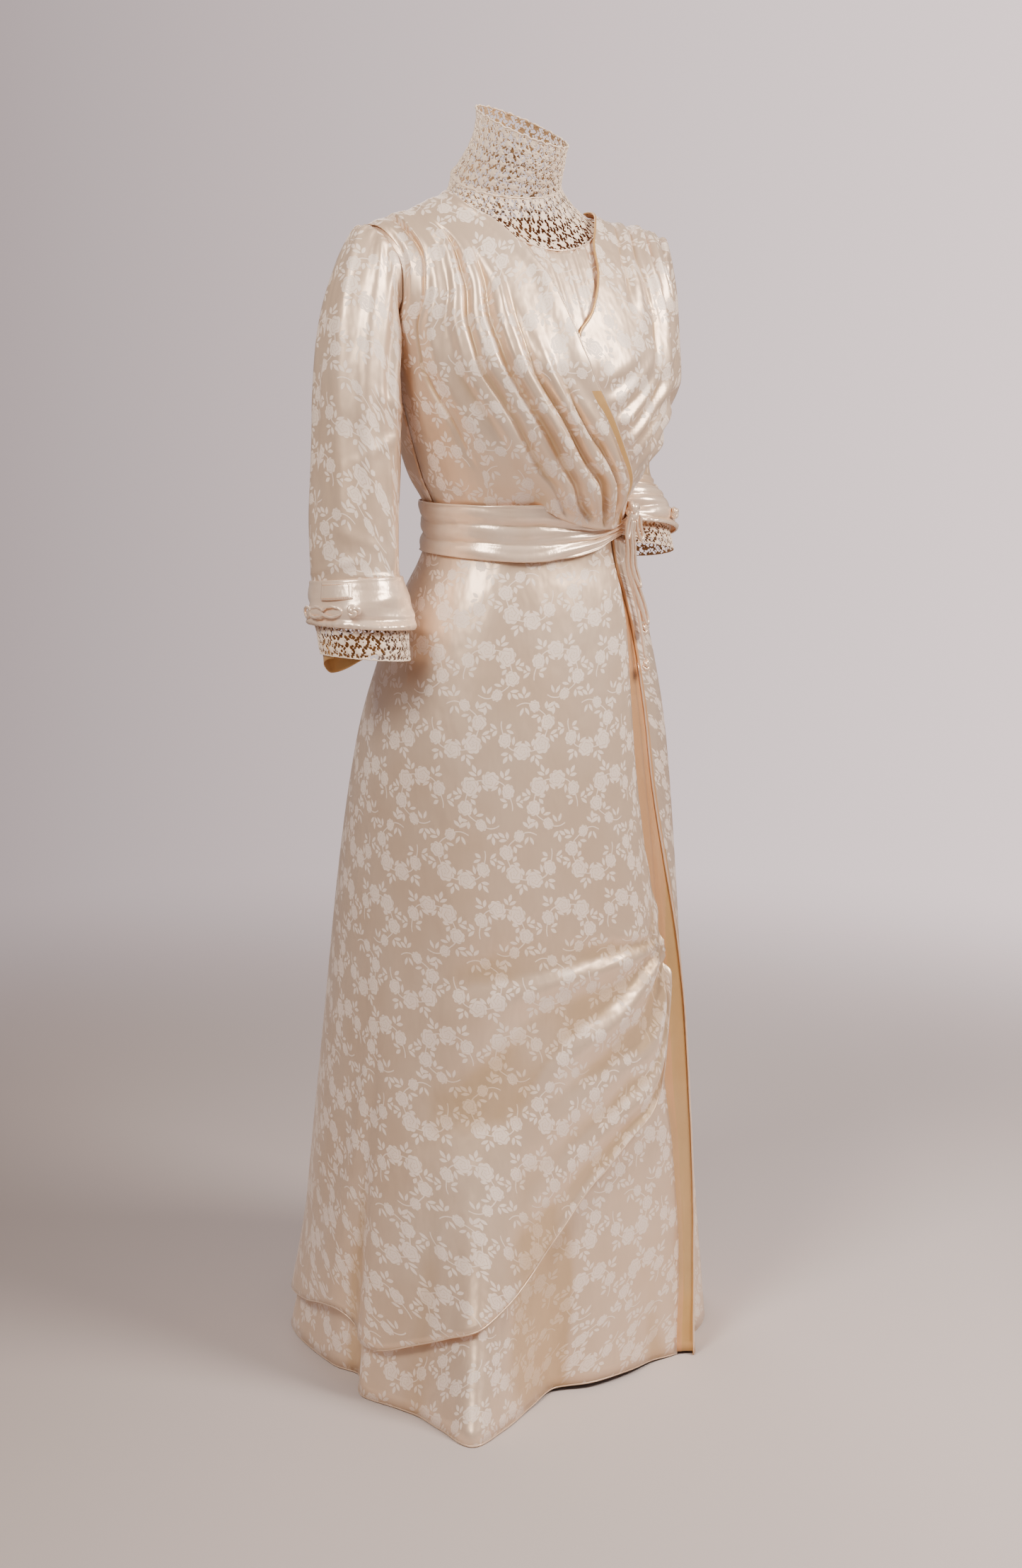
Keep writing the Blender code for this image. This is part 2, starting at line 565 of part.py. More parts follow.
def sleeve(side_name, table, finish):
    """A sleeve: eased into the armhole, rounding over the cap, then down the arm to the cuff."""
    side = SIDES[side_name]
    angle = np.linspace(0, 360, SLEEVE_COLUMNS, endpoint=False) * -side
    rows = rows_of(ARM_COLUMNS, table)
    order = ("x", "y", "height", "half_x", "half_y", "slope", "lean")
    rings = [arm_ring(side, angle, *(rows[name][i] for name in order)) for i in range(len(table) - 1)]
    end = rows["half_x"][-1], rows["half_y"][-1]
    rings += [cuff_ring(side_name, table, angle, down, *end) for down in (-0.012, 0)]
    seam, first = armhole(side, angle % 360), rings[0]
    upper = (0.5 + 0.5 * np.cos(np.radians(angle)))[:, None]
    head = seam + side * SLEEVE_HEAD * (0.65 + 0.35 * upper) * (1, 0, 0)
    blend = np.hstack([0.5 + 0.4 * upper, 0.5 + 0.3 * upper, 0.5 - 0.25 * upper])
    bend = first * blend + head * (1 - blend)
    cap = [head * (1 - t) ** 2 + bend * 2 * t * (1 - t) + first * t * t for t in CAP_ROWS]
    wall("sleeve_" + side_name, np.array([seam] + cap + rings), finish, closed=True)


# Cuffs: turned-back satin bands over the sleeve's end, with a lace undercuff below. Rows down the forearm:
# distance below the sleeve's last ring, and half sizes
CUFF_COLUMNS = ("down", "half_x", "half_y")
SATIN_CUFF = ((-0.009, 0.0498, 0.0553), (0.012, 0.0545, 0.0590), (0.034, 0.0570, 0.0610),
              (0.048, 0.0560, 0.0600))
LACE_CUFF = ((0.037, 0.0547, 0.0587), (0.052, 0.0500, 0.0545), (0.068, 0.0495, 0.0540),
             (0.084, 0.0485, 0.0530))
CUFF_SEGMENTS = 22
FOREARM = {"right": (0.0, -0.22, -0.975), "left": (-0.02, -0.50, -0.866)}   # direction down the forearm


def cuff_ring(side_name, table, angle, down, half_x, half_y):
    """A ring of the cuff, the given distance down the forearm from the sleeve's last ring."""
    rows = rows_of(ARM_COLUMNS, table)
    along_arm = np.array(FOREARM[side_name]) * down
    side = SIDES[side_name]
    return arm_ring(side, angle, rows["x"][-1] + side * along_arm[0], rows["y"][-1] + along_arm[1],
                    rows["height"][-1] + along_arm[2], half_x, half_y, rows["slope"][-1], rows["lean"][-1])


def cuff_sizes(table, down, out=0.0):
    """The half sizes of a cuff at a distance down the forearm, moved out."""
    rows = rows_of(CUFF_COLUMNS, table)
    return [np.interp(down, rows["down"], rows[name]) + out for name in ("half_x", "half_y")]


FROG_DOWN = (0.018, 0.033)   # distances down the forearm of the corded frog's edges on the cuff
FROG_ANGLES = (-30, 42)    # where it lies round the cuff, 0 outward and 90 to the front
FROG_OUT = 0.0021          # how far its inner face is outside the cuff's inner face
FROG_THICKNESS = 0.0024
KNOT_OUT = {"right": 0.0084, "left": 0.0094}   # how far the cuff knot's middle is out of the cuff's inner face
CUFF_KNOT = (54, (0.018, 0.012, 0.016))   # its angle and size


def cuffs(side_name, table, satin, lace):
    """The satin cuff band with its tab and knot, and the lace undercuff in two halves."""
    side = SIDES[side_name]
    angle = np.linspace(0, 360, CUFF_SEGMENTS, endpoint=False) * -side
    band = np.array([cuff_ring(side_name, table, angle, *row) for row in SATIN_CUFF])
    wall("cuff_" + side_name, band, satin, closed=True)
    around = np.linspace(*FROG_ANGLES, 9)[::-side]
    frog = [cuff_ring(side_name, table, around, down, *cuff_sizes(SATIN_CUFF, down, FROG_OUT))
            for down in np.linspace(*FROG_DOWN, 3)]
    wall("cuff_frog_" + side_name, np.array(frog), satin, thickness=FROG_THICKNESS)
    turn, size = CUFF_KNOT
    down = np.mean(FROG_DOWN)
    half_sizes = cuff_sizes(SATIN_CUFF, down, KNOT_OUT[side_name])
    centre = cuff_ring(side_name, table, np.array(turn), down, *half_sizes)
    lump("cuff_knot_" + side_name, centre, size, satin)
    first, last = LACE_CUFF[0][0], LACE_CUFF[-1][0]
    for start in (0, 180):
        angle = -side * (start + SEAM_DEGREES + (180 - 2 * SEAM_DEGREES) * lace_steps(CUFF_PAIRS))
        points = [cuff_ring(side_name, table, angle, down, *cuff_sizes(LACE_CUFF, down))
                  for down in first + (last - first) * lace_steps(CUFF_GAP_ROWS)]
        points = wander(np.array(points), 0.0007)
        half = "front" if (start == 0) == (side < 0) else "back"
        wall("cuff_lace_" + side_name + "_" + half, points, lace, LACE_WALL, holes=lace_gaps(points))


def belt(finish):
    """The draped sash: a closed band with long soft folds."""
    t, angle = grid(np.linspace(0, 1, 6), np.linspace(-180, 180, 33)[:-1])
    top, foot = curve(BELT_TOP, angle), curve(BELT_FOOT, angle)
    height = top + (foot - top) * t
    folds = 0.0022 * np.abs(np.sin(np.pi * 2.5 * t))
    base = belt_line(angle, height)
    outward = normals(base, closed=True) * (1, 1, 0)
    wall("belt", base + outward * (BELT_OUT + folds)[..., None], finish, closed=True)


def belt_line(angle, height):
    """The figure at the belt, where torso levels start at the waist: rings at any height."""
    angle, height = np.broadcast_arrays(np.asarray(angle, float), np.asarray(height, float))
    sine, cosine = np.sin(np.radians(angle)), np.cos(np.radians(angle))
    depth = np.where(cosine > 0, along(TORSO_COLUMNS, TORSO, "front", height),
                     along(TORSO_COLUMNS, TORSO, "back", height))
    x = along(TORSO_COLUMNS, TORSO, "half_width", height) * power(sine, 2 / TORSO_POWER)
    y = along(TORSO_COLUMNS, TORSO, "centre", height) - depth * power(cosine, 2 / TORSO_POWER)
    return np.stack([x, y, height], -1)


# Skirts. The overskirt starts at the opening's near edge and runs round the right side and the back to the
# left side seam; its hem rises from the right-front corner to the gathers at the opening
OVER_OPENING = ((0.40, 31), (0.455, 31), (0.545, 28.5), (0.70, 25), (0.868, 23), (0.985, 27))
OVER_HEM = ((-250, 0.062), (-135, 0.050), (-117, 0.048), (-100, 0.060), (-86, 0.078), (-76, 0.064),
            (-64, 0.062), (-50, 0.080), (-38, 0.104), (-30, 0.120), (-23, 0.138), (-12, 0.184), (-4, 0.226),
            (9, 0.284), (17, 0.312), (26, 0.380), (31, 0.455))
OVER_END = -250
OVERSKIRT_COLUMNS = 30
OVERSKIRT_ROWS = 15
UNDER_OPENING = ((0.0, 25), (0.3, 29), (0.6, 31), (0.985, 32))
UNDER_END = ((0.0, -331), (0.12, -326), (0.3, -322), (0.5, -321), (0.866, -326), (0.985, -327))
UNDERSKIRT_COLUMNS = 44
UNDERSKIRT_ROWS = 10
SKIRT_TOP = 0.986
FRONT_LIFT = 0.010         # the hem clears the floor a little at the front


def spaced(start, end, count, centre, spread, crowd):
    """count angles from start to end, closer together round the centre."""
    fine = np.linspace(start, end, 400)
    crowded = np.cumsum(1 + crowd * bump((fine - centre) / spread))
    return np.interp(np.linspace(crowded[0], crowded[-1], count), crowded, fine)


def gathered(angle):
    """1 at the opening's edge, where the overskirt is caught up, and 0 from the side front on."""
    return ease(-48, 31, angle)


def overskirt(finish):
    """The draped overskirt: smooth over the hip, caught up in a fan of folds at knee height."""
    end = 31.0
    t, angle = grid(np.linspace(0, 1, OVERSKIRT_ROWS) ** 1.3,
                    spaced(OVER_END, end, OVERSKIRT_COLUMNS + 1, -25, 80, 1.6))
    hem = curve(OVER_HEM, angle)
    caught = gathered(angle)
    fall = t * (1 - caught) + (1 - (1 - t) ** 1.55) * caught
    height = SKIRT_TOP + (hem - SKIRT_TOP) * fall
    angle = angle + caught * (curve(OVER_OPENING, height) - end)
    fan = caught * ease(0.45, 0.85, t) * 0.010 * (0.5 + 0.5 * np.cos(2 * np.pi * (t * 7.0)))
    out = 0.0026 + 0.0048 * ease(0.985, 0.93, height) + 0.004 * ease(0.45, 0.10, height) + fan
    wall("overskirt", skirt(angle, height, out), finish)


def underskirt(finish):
    """The full-length underskirt: round the whole figure, its left-front edge turned outwards low down."""
    share = (spaced(-331, 25, UNDERSKIRT_COLUMNS + 1, -36, 40, 1.5) + 331) / 356
    t, share = grid(np.linspace(0, 1, UNDERSKIRT_ROWS) ** 1.35, share)
    height = SKIRT_TOP + (0.0005 - SKIRT_TOP) * t
    left, right = curve(UNDER_END, height), curve(UNDER_OPENING, height)
    angle = left + (right - left) * share
    height = height + FRONT_LIFT * bump(apart(angle, -2) / 26) * t ** 4
    turned = ease(8, 0, angle - left) * ease(0.72, 0.40, height)
    wall("underskirt", skirt(angle, height, 0.016 * turned), finish)


def opening_lining(finish):
    """The lining that shows in the opening, inside both edges."""
    t, angle = grid(np.linspace(0, 1, 9) ** 1.3, np.linspace(15, 50, 7))
    height = 0.980 + (0.012 - 0.980) * t
    wall("opening_lining", skirt(angle, height, -0.0033), finish, thickness=0.0012)


# Ties at the left waist: knot, loops and two knotted tails, whose routes are offsets from the knot's middle:
# sideways (to the wearer's left), out from the body, and down
KNOT_ANGLE = 33
KNOT_HEIGHT = 1.020
KNOT_CENTRE = (0.002, 0.0087, 0.0)   # sideways, out and down, as in the routes below
KNOT_SIZE = (0.028, 0.019, 0.024)
CORD_RADIUS = 0.0021
LOOPS = {
    "tie_loop_short": ((0.0070, 0.0140, 0.0155), (0.0120, 0.0140, 0.0230), (0.0180, 0.0138, 0.0310),
                       (0.0250, 0.0135, 0.0370), (0.0290, 0.0138, 0.0290), (0.0230, 0.0140, 0.0210),
                       (0.0150, 0.0142, 0.0145)),
    "tie_loop_left": ((-0.0092, 0.0140, 0.0155), (-0.0105, 0.0138, 0.0230), (-0.0150, 0.0136, 0.0310),
                      (-0.0190, 0.0136, 0.0250), (-0.0142, 0.0138, 0.0130)),
    "tie_loop_long": ((-0.0045, 0.0140, 0.0155), (-0.0060, 0.0138, 0.0450), (-0.0050, 0.0138, 0.0780),
                      (-0.0005, 0.0138, 0.0890), (0.0035, 0.0138, 0.0790), (0.0015, 0.0138, 0.0450),
                      (0.0012, 0.0140, 0.0155)),
    "tie_loop_low": ((-0.0080, 0.0087, 0.0155), (-0.0075, 0.0090, 0.0600), (-0.0030, 0.0090, 0.1120),
                     (0.0035, 0.0090, 0.1330), (0.0090, 0.0090, 0.1200), (0.0035, 0.0090, 0.0700),
                     (-0.0020, 0.0087, 0.0155)),
}
TAILS = {
    "tie_tail_inner": ((0.0030, 0.0042, 0.0155), (-0.0010, 0.0040, 0.0800), (-0.0060, 0.0040, 0.1300),
                       (-0.0120, 0.0050, 0.1720)),
    "tie_tail_outer": ((0.0095, 0.0042, 0.0150), (0.0085, 0.0040, 0.0700), (0.0060, 0.0040, 0.1100),
                       (0.0045, 0.0040, 0.1310)),
}


def tie_point(side, out, down):
    """A point near the knot: on the belt or the skirt below it, moved sideways and out."""
    turn = np.radians(KNOT_ANGLE)
    across, away = np.array([np.cos(turn), np.sin(turn), 0]), np.array([np.sin(turn), -np.cos(turn), 0])
    height = KNOT_HEIGHT - down
    belt_part = ease(0.950, 0.985, height)
    base = belt_line(KNOT_ANGLE, height) * belt_part + skirt(KNOT_ANGLE, height) * (1 - belt_part)
    return base + across * side + away * (out + 0.009 + 0.0045 * belt_part)


def from_knot(route):
    """The route of a tie with each end beside the knot moved up to 0.3 mm from the knot's surface."""
    route = [list(point) for point in route]
    half_x, half_y, half_z = np.array(KNOT_SIZE) / 2
    for point in (route[0], route[-1]):
        if point[2] < KNOT_SIZE[2]:
            for _ in range(4):
                aside = np.abs(tie_point(*point) - tie_point(*KNOT_CENTRE))
                aside = np.maximum(aside[:2] - CORD_RADIUS, 0) / (half_x, half_y)
                point[2] = 0.0003 + half_z * max(1 - (aside ** 2).sum(), 0) ** 0.5
    return route


def ties(finish):
    """The knot, its loops and its tails."""
    lump("tie_knot", tie_point(*KNOT_CENTRE), KNOT_SIZE, finish)
    for name, route in LOOPS.items():
        points = smooth_route(from_knot(route), 14)
        tube(name, [tie_point(*p) for p in points], CORD_RADIUS, finish)
    for name, route in TAILS.items():
        points = smooth_route(from_knot(route), 13)
        tube(name, [tie_point(*p) for p in points], CORD_RADIUS, finish)
        side, out, down = route[-1]
        lump(name + "_end", tie_point(side, out, down + 0.0083), (0.017, 0.013, 0.016), finish, petals=5)


def main():
    global GOWN
    for old in list(bpy.data.objects):
        bpy.data.objects.remove(old)
    GOWN = bpy.data.collections.new("tea_gown")
    bpy.context.scene.collection.children.link(GOWN)
    damask = material("ivory_damask", (0.80, 0.70, 0.56), 0.38)
    satin = material("ivory_satin", (0.84, 0.72, 0.58), 0.30)
    lace = material("cream_lace", (0.82, 0.73, 0.60), 0.80)
    lining = material("peach_lining", (0.72, 0.48, 0.28), 0.55)
    over_front(damask)
    under_front(damask)
    bodice_back(damask)
    inset_front(damask)
    lace_collar(lace)
    lace_yoke(lace)
    for side_name, table in (("right", RIGHT_ARM), ("left", LEFT_ARM)):
        sleeve(side_name, table, damask)
        cuffs(side_name, table, satin, lace)
    belt(satin)
    overskirt(damask)
    underskirt(damask)
    opening_lining(lining)
    ties(satin)


main()
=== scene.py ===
import bpy
import numpy as np
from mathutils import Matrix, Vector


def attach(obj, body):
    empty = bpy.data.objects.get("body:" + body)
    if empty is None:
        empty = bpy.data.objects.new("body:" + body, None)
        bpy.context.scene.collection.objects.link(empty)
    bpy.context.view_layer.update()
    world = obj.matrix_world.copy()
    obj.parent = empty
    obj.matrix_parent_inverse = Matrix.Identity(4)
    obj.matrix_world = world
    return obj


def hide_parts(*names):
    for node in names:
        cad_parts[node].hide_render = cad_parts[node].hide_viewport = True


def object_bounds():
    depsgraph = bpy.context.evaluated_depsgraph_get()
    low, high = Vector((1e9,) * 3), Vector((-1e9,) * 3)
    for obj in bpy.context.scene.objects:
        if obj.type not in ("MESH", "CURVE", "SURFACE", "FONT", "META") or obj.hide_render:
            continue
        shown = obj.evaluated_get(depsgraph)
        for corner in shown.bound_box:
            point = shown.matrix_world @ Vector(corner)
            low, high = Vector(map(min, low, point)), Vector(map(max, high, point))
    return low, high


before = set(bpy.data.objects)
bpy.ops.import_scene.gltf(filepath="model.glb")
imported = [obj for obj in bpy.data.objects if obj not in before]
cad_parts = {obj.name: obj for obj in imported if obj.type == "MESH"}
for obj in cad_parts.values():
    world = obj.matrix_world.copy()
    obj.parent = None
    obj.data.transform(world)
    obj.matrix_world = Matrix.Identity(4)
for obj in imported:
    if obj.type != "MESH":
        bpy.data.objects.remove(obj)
cad_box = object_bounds()

# The camera stands where the photograph was taken from: in front, towards the wearer's right, a little
# above the waist, tilted down.
SHOULDER_LINE = 1.345      # height of the origin above the floor, in metres
PHOTO_WIDTH, PHOTO_HEIGHT = 1445, 2217
CAMERA_TURN = np.radians(32.0)
CAMERA_DISTANCE = 3.0
CAMERA_HEIGHT = 1.25
FOCAL_PIXELS = 3590
HORIZON_ROW = 435
MIDDLE_COLUMN = 735
SENSOR = 36.0

lens = bpy.data.cameras.new("camera")
lens.sensor_width = SENSOR
lens.lens = FOCAL_PIXELS / PHOTO_HEIGHT * SENSOR
camera = bpy.data.objects.new("camera", lens)
aside = (PHOTO_WIDTH / 2 - MIDDLE_COLUMN) / FOCAL_PIXELS * CAMERA_DISTANCE
tilt = np.arctan((PHOTO_HEIGHT / 2 - HORIZON_ROW) / FOCAL_PIXELS)
camera.location = (-CAMERA_DISTANCE * np.sin(CAMERA_TURN) + aside * np.cos(CAMERA_TURN),
                   -CAMERA_DISTANCE * np.cos(CAMERA_TURN) - aside * np.sin(CAMERA_TURN),
                   CAMERA_HEIGHT - SHOULDER_LINE)
camera.rotation_euler = (np.pi / 2 - tilt, 0, -CAMERA_TURN)
bpy.context.scene.collection.objects.link(camera)
bpy.context.scene.camera = camera

# Ties at the left waist: narrow satin rouleaux, tubes cut on the bias and turned right side out. They are
# tied in a knot with four loops, and two ends hang down, each finished with a petalled knot of the same
# rouleau. They lie on the belt and the skirt, so the rings of the figure and of the skirt come with them.
TORSO_COLUMNS = ("height", "half_width", "front", "back", "centre")
TORSO = (
    (0.960, 0.120, 0.101, 0.086, -0.010),
    (0.995, 0.114, 0.097, 0.079, -0.010),
    (1.025, 0.117, 0.104, 0.081, -0.010),
    (1.060, 0.132, 0.125, 0.092, -0.009),
    (1.130, 0.152, 0.145, 0.106, -0.006),
    (1.180, 0.162, 0.146, 0.108, -0.002),
    (1.230, 0.176, 0.130, 0.108, 0.002),
    (1.290, 0.190, 0.108, 0.100, 0.005),
    (1.345, 0.200, 0.090, 0.090, 0.008),
    (1.400, 0.204, 0.085, 0.085, 0.010),
)
RING_POWER = 2.3           # superellipse power of a ring round the body
SKIRT = (
    (0.000, 0.240, 0.196, 0.262, 0.022),
    (0.150, 0.230, 0.188, 0.248, 0.020),
    (0.300, 0.219, 0.180, 0.234, 0.018),
    (0.450, 0.208, 0.170, 0.218, 0.015),
    (0.600, 0.196, 0.158, 0.198, 0.010),
    (0.750, 0.180, 0.142, 0.168, 0.003),
    (0.860, 0.157, 0.122, 0.130, -0.005),
    (0.920, 0.138, 0.107, 0.106, -0.010),
    (0.955, 0.124, 0.100, 0.090, -0.010),
    (0.995, 0.114, 0.097, 0.079, -0.010),
)
# Folds of the skirt: angle from the front (+ to the wearer's left), how far the fold stands out at the
# floor, the height where it starts, and how fast it grows downwards
FOLD_COLUMNS = ("angle", "out", "start", "growth")
FOLDS = (
    (-180, 0.030, 0.70, 1.2),
    (-160, 0.002, 0.70, 1.2),
    (-143, 0.020, 0.30, 1.2),
    (-128, 0.012, 0.13, 1.0),
    (-112, 0.020, 0.14, 1.0),
    (-100, 0.019, 0.16, 1.0),
    (-88, 0.018, 0.30, 1.0),
    (-79, 0.008, 0.60, 1.0),
    (-67, 0.050, 0.50, 1.5),
    (-58, 0.058, 0.45, 1.5),
    (-49, 0.073, 0.42, 1.6),
    (-41, 0.106, 0.42, 1.7),
    (-33.5, 0.146, 0.42, 1.8),
    (-28, 0.110, 0.42, 1.8),
    (-21, 0.060, 0.40, 1.8),
    (-13, 0.026, 0.35, 1.5),
    (-4, 0.036, 0.30, 1.5),
    (4, 0.028, 0.30, 1.4),
    (14, 0.016, 0.30, 1.2),
    (24, 0.022, 0.30, 1.2),
    (38, 0.006, 0.30, 1.2),
    (61, 0.008, 0.40, 1.2),
    (84, 0.014, 0.50, 1.2),
    (104, 0.004, 0.60, 1.2),
    (124, 0.026, 0.66, 1.2),
    (150, -0.004, 0.70, 1.2),
    (180, 0.030, 0.70, 1.2),
)
KNOT_ANGLE = 33
KNOT_HEIGHT = 1.020
KNOT_CENTRE = (0.002, 0.0087, 0.0)   # sideways to the wearer's left, out from the body, and down
KNOT_SIZE = (0.028, 0.019, 0.024)
CORD_RADIUS = 0.0021
LOOPS = {
    "tie_loop_short": ((0.0070, 0.0140, 0.0155), (0.0120, 0.0140, 0.0230), (0.0180, 0.0138, 0.0310),
                       (0.0250, 0.0135, 0.0370), (0.0290, 0.0138, 0.0290), (0.0230, 0.0140, 0.0210),
                       (0.0150, 0.0142, 0.0145)),
    "tie_loop_left": ((-0.0092, 0.0140, 0.0155), (-0.0105, 0.0138, 0.0230), (-0.0150, 0.0136, 0.0310),
                      (-0.0190, 0.0136, 0.0250), (-0.0142, 0.0138, 0.0130)),
    "tie_loop_long": ((-0.0045, 0.0140, 0.0155), (-0.0060, 0.0138, 0.0450), (-0.0050, 0.0138, 0.0780),
                      (-0.0005, 0.0138, 0.0890), (0.0035, 0.0138, 0.0790), (0.0015, 0.0138, 0.0450),
                      (0.0012, 0.0140, 0.0155)),
    "tie_loop_low": ((-0.0080, 0.0087, 0.0155), (-0.0075, 0.0090, 0.0600), (-0.0030, 0.0090, 0.1120),
                     (0.0035, 0.0090, 0.1330), (0.0090, 0.0090, 0.1200), (0.0035, 0.0090, 0.0700),
                     (-0.0020, 0.0087, 0.0155)),
}
TAILS = {
    "tie_tail_inner": ((0.0030, 0.0042, 0.0155), (-0.0010, 0.0040, 0.0800), (-0.0060, 0.0040, 0.1300),
                       (-0.0120, 0.0050, 0.1720)),
    "tie_tail_outer": ((0.0095, 0.0042, 0.0150), (0.0085, 0.0040, 0.0700), (0.0060, 0.0040, 0.1100),
                       (0.0045, 0.0040, 0.1310)),
}
TAIL_END_DROP = 0.0083     # from a tail's last point to the middle of its petalled knot
TAIL_END_SIZE = (0.017, 0.013, 0.016)
KNOT_PETALS, TAIL_END_PETALS = 3, 5
KNOT_RADIUS, TAIL_END_RADIUS = 0.0040, 0.0022   # of the rouleaux in them
TIE_OUT, TIE_ON_BELT = 0.009, 0.0045   # how far the ties' places lie out of the skirt, and more on the belt
KNOT_GAP = 0.0003          # between the knot and the ties that come out of it
KNOT_CORE, KNOT_SWING = 0.56, 0.44   # shares of a knot's half size for its ring and for the winding round it
CORD_STEPS = 90
CORD_SIDES = 14


def along(columns, table, name, at):
    """A column of a table, read at values of the first column: a cubic whose slopes never overshoot."""
    rows = dict(zip(columns, np.array(table, float).T))
    xs, ys = rows[columns[0]], rows[name]
    steps = np.diff(ys) / np.diff(xs)
    before, after = steps[:-1], steps[1:]
    same_way = before * after > 0
    middle = np.where(same_way, 2 * before * after / np.where(same_way, before + after, 1), 0)
    slopes = np.concatenate([steps[:1], middle, steps[-1:]])
    at = np.clip(at, xs[0], xs[-1])
    i = np.clip(np.searchsorted(xs, at) - 1, 0, len(xs) - 2)
    step = xs[i + 1] - xs[i]
    t = (at - xs[i]) / step
    return (ys[i] * (1 + 2 * t) * (1 - t) ** 2 + slopes[i] * step * t * (1 - t) ** 2
            + ys[i + 1] * t * t * (3 - 2 * t) + slopes[i + 1] * step * t * t * (t - 1))


def curve(points, at):
    """A smooth line through (position, value) pairs, read at `at`."""
    return along(("position", "value"), points, "value", at)


def ease(low, high, value):
    """0 below low, 1 above high, and a smooth S between."""
    t = np.clip((value - low) / (high - low), 0, 1)
    return t * t * (3 - 2 * t)


def bump(distance):
    """A rounded ridge, 1 at distance 0 and 0 beyond distance 1: half a cosine wave."""
    return np.where(np.abs(distance) < 1, 0.5 + 0.5 * np.cos(np.pi * np.clip(distance, -1, 1)), 0)


def power(value, exponent):
    """A signed power."""
    return np.sign(value) * np.abs(value) ** exponent


def apart(angle, centre):
    """Degrees from centre to angle, the short way round."""
    return (angle - centre + 180) % 360 - 180


def ring_point(table, angle, height, out=0.0):
    """A point of a ring round the body: a superellipse with its own depth to the front and the back."""
    angle, height = np.broadcast_arrays(np.asarray(angle, float), np.asarray(height, float))
    sine, cosine = np.sin(np.radians(angle)), np.cos(np.radians(angle))
    half, front, back, centre = (along(TORSO_COLUMNS, table, name, height) for name in TORSO_COLUMNS[1:])
    depth = np.where(cosine > 0, front, back) + out
    x = (half + out) * power(sine, 2 / RING_POWER)
    return np.stack([x, centre - depth * power(cosine, 2 / RING_POWER), height], -1)


def skirt(angle, height, out=0.0):
    """A point of the skirt: its ring, moved out by out and by the folds, which open towards the floor."""
    turn = apart(np.asarray(angle, float), 0)
    reach, start, growth = (along(FOLD_COLUMNS, FOLDS, name, turn) for name in FOLD_COLUMNS[1:])
    return ring_point(SKIRT, angle, height, out + reach * np.clip(1 - height / start, 0, 1) ** growth)


def tie_point(side, out, down):
    """A point near the knot: on the belt or the skirt below it, moved sideways and out."""
    turn = np.radians(KNOT_ANGLE)
    across = np.array([np.cos(turn), np.sin(turn), 0])
    away = np.array([np.sin(turn), -np.cos(turn), 0])
    height = KNOT_HEIGHT - down
    belt_part = ease(0.950, 0.985, height)
    base = ring_point(TORSO, KNOT_ANGLE, height) * belt_part + skirt(KNOT_ANGLE, height) * (1 - belt_part)
    return base + across * side + away * (out + TIE_OUT + TIE_ON_BELT * belt_part) - (0, 0, SHOULDER_LINE)


def from_knot(route):
    """The route of a tie with each end beside the knot moved to just clear of the knot's surface."""
    route = [list(point) for point in route]
    half_x, half_y, half_z = np.array(KNOT_SIZE) / 2
    for point in (route[0], route[-1]):
        if point[2] < KNOT_SIZE[2]:
            for _ in range(4):
                off = np.abs(tie_point(*point) - tie_point(*KNOT_CENTRE))
                off = np.maximum(off[:2] - CORD_RADIUS, 0) / (half_x, half_y)
                point[2] = KNOT_GAP + half_z * max(1 - (off ** 2).sum(), 0) ** 0.5
    return route


def through(rows, t):
    """A Catmull-Rom curve through the rows, read at t, which counts in rows. It starts and ends as if the
    first and the last step went on."""
    rows = np.asarray(rows, float)
    ends = np.concatenate([2 * rows[:1] - rows[1:2], rows, 2 * rows[-1:] - rows[-2:-1]])
    i = np.minimum(t.astype(int), len(rows) - 2)
    f = (t - i).reshape(-1, *[1] * (rows.ndim - 1))
    a, b, c, d = (ends[i + k] for k in range(4))
    square, cube = 2 * a - 5 * b + 4 * c - d, 3 * b - a - 3 * c + d
    return 0.5 * (2 * b + (c - a) * f + square * f ** 2 + cube * f ** 3)


def smooth_route(points, count):
    """count points evenly along the curve through the route's own points."""
    fine = through(points, np.linspace(0, len(points) - 1, 40 * len(points)))
    length = np.concatenate([[0], np.cumsum(np.linalg.norm(np.diff(fine, axis=0), axis=1))])
    at = np.linspace(0, length[-1], count)
    return np.stack([np.interp(at, length, fine[:, k]) for k in range(3)], -1)


def unit(vectors):
    """Each vector at length 1."""
    return vectors / np.maximum(np.linalg.norm(vectors, axis=-1, keepdims=True), 1e-12)


def grid_faces(rows, columns, around=False, keep=None):
    """The four corners of each cell of a grid of vertices; around joins the last column to the first, and
    keep says which cells stay."""
    index = np.arange(rows * columns).reshape(rows, columns)
    right = np.roll(index, -1, 1) if around else index[:, 1:]
    left = index if around else index[:, :-1]
    cells = np.stack([left[:-1], left[1:], right[1:], right[:-1]], -1)
    return cells[keep] if keep is not None else cells.reshape(-1, 4)


def new_piece(name, points, faces, finishes, caps=()):
    """A smooth mesh piece that rides on the gown, from its vertices and faces, with its materials."""
    mesh = bpy.data.meshes.new(name)
    mesh.from_pydata(np.asarray(points).reshape(-1, 3).tolist(), [], np.asarray(faces).tolist() + list(caps))
    mesh.shade_smooth()
    for finish in finishes:
        mesh.materials.append(finish)
    piece = bpy.data.objects.new(name, mesh)
    bpy.context.scene.collection.objects.link(piece)
    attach(piece, "root")
    return piece


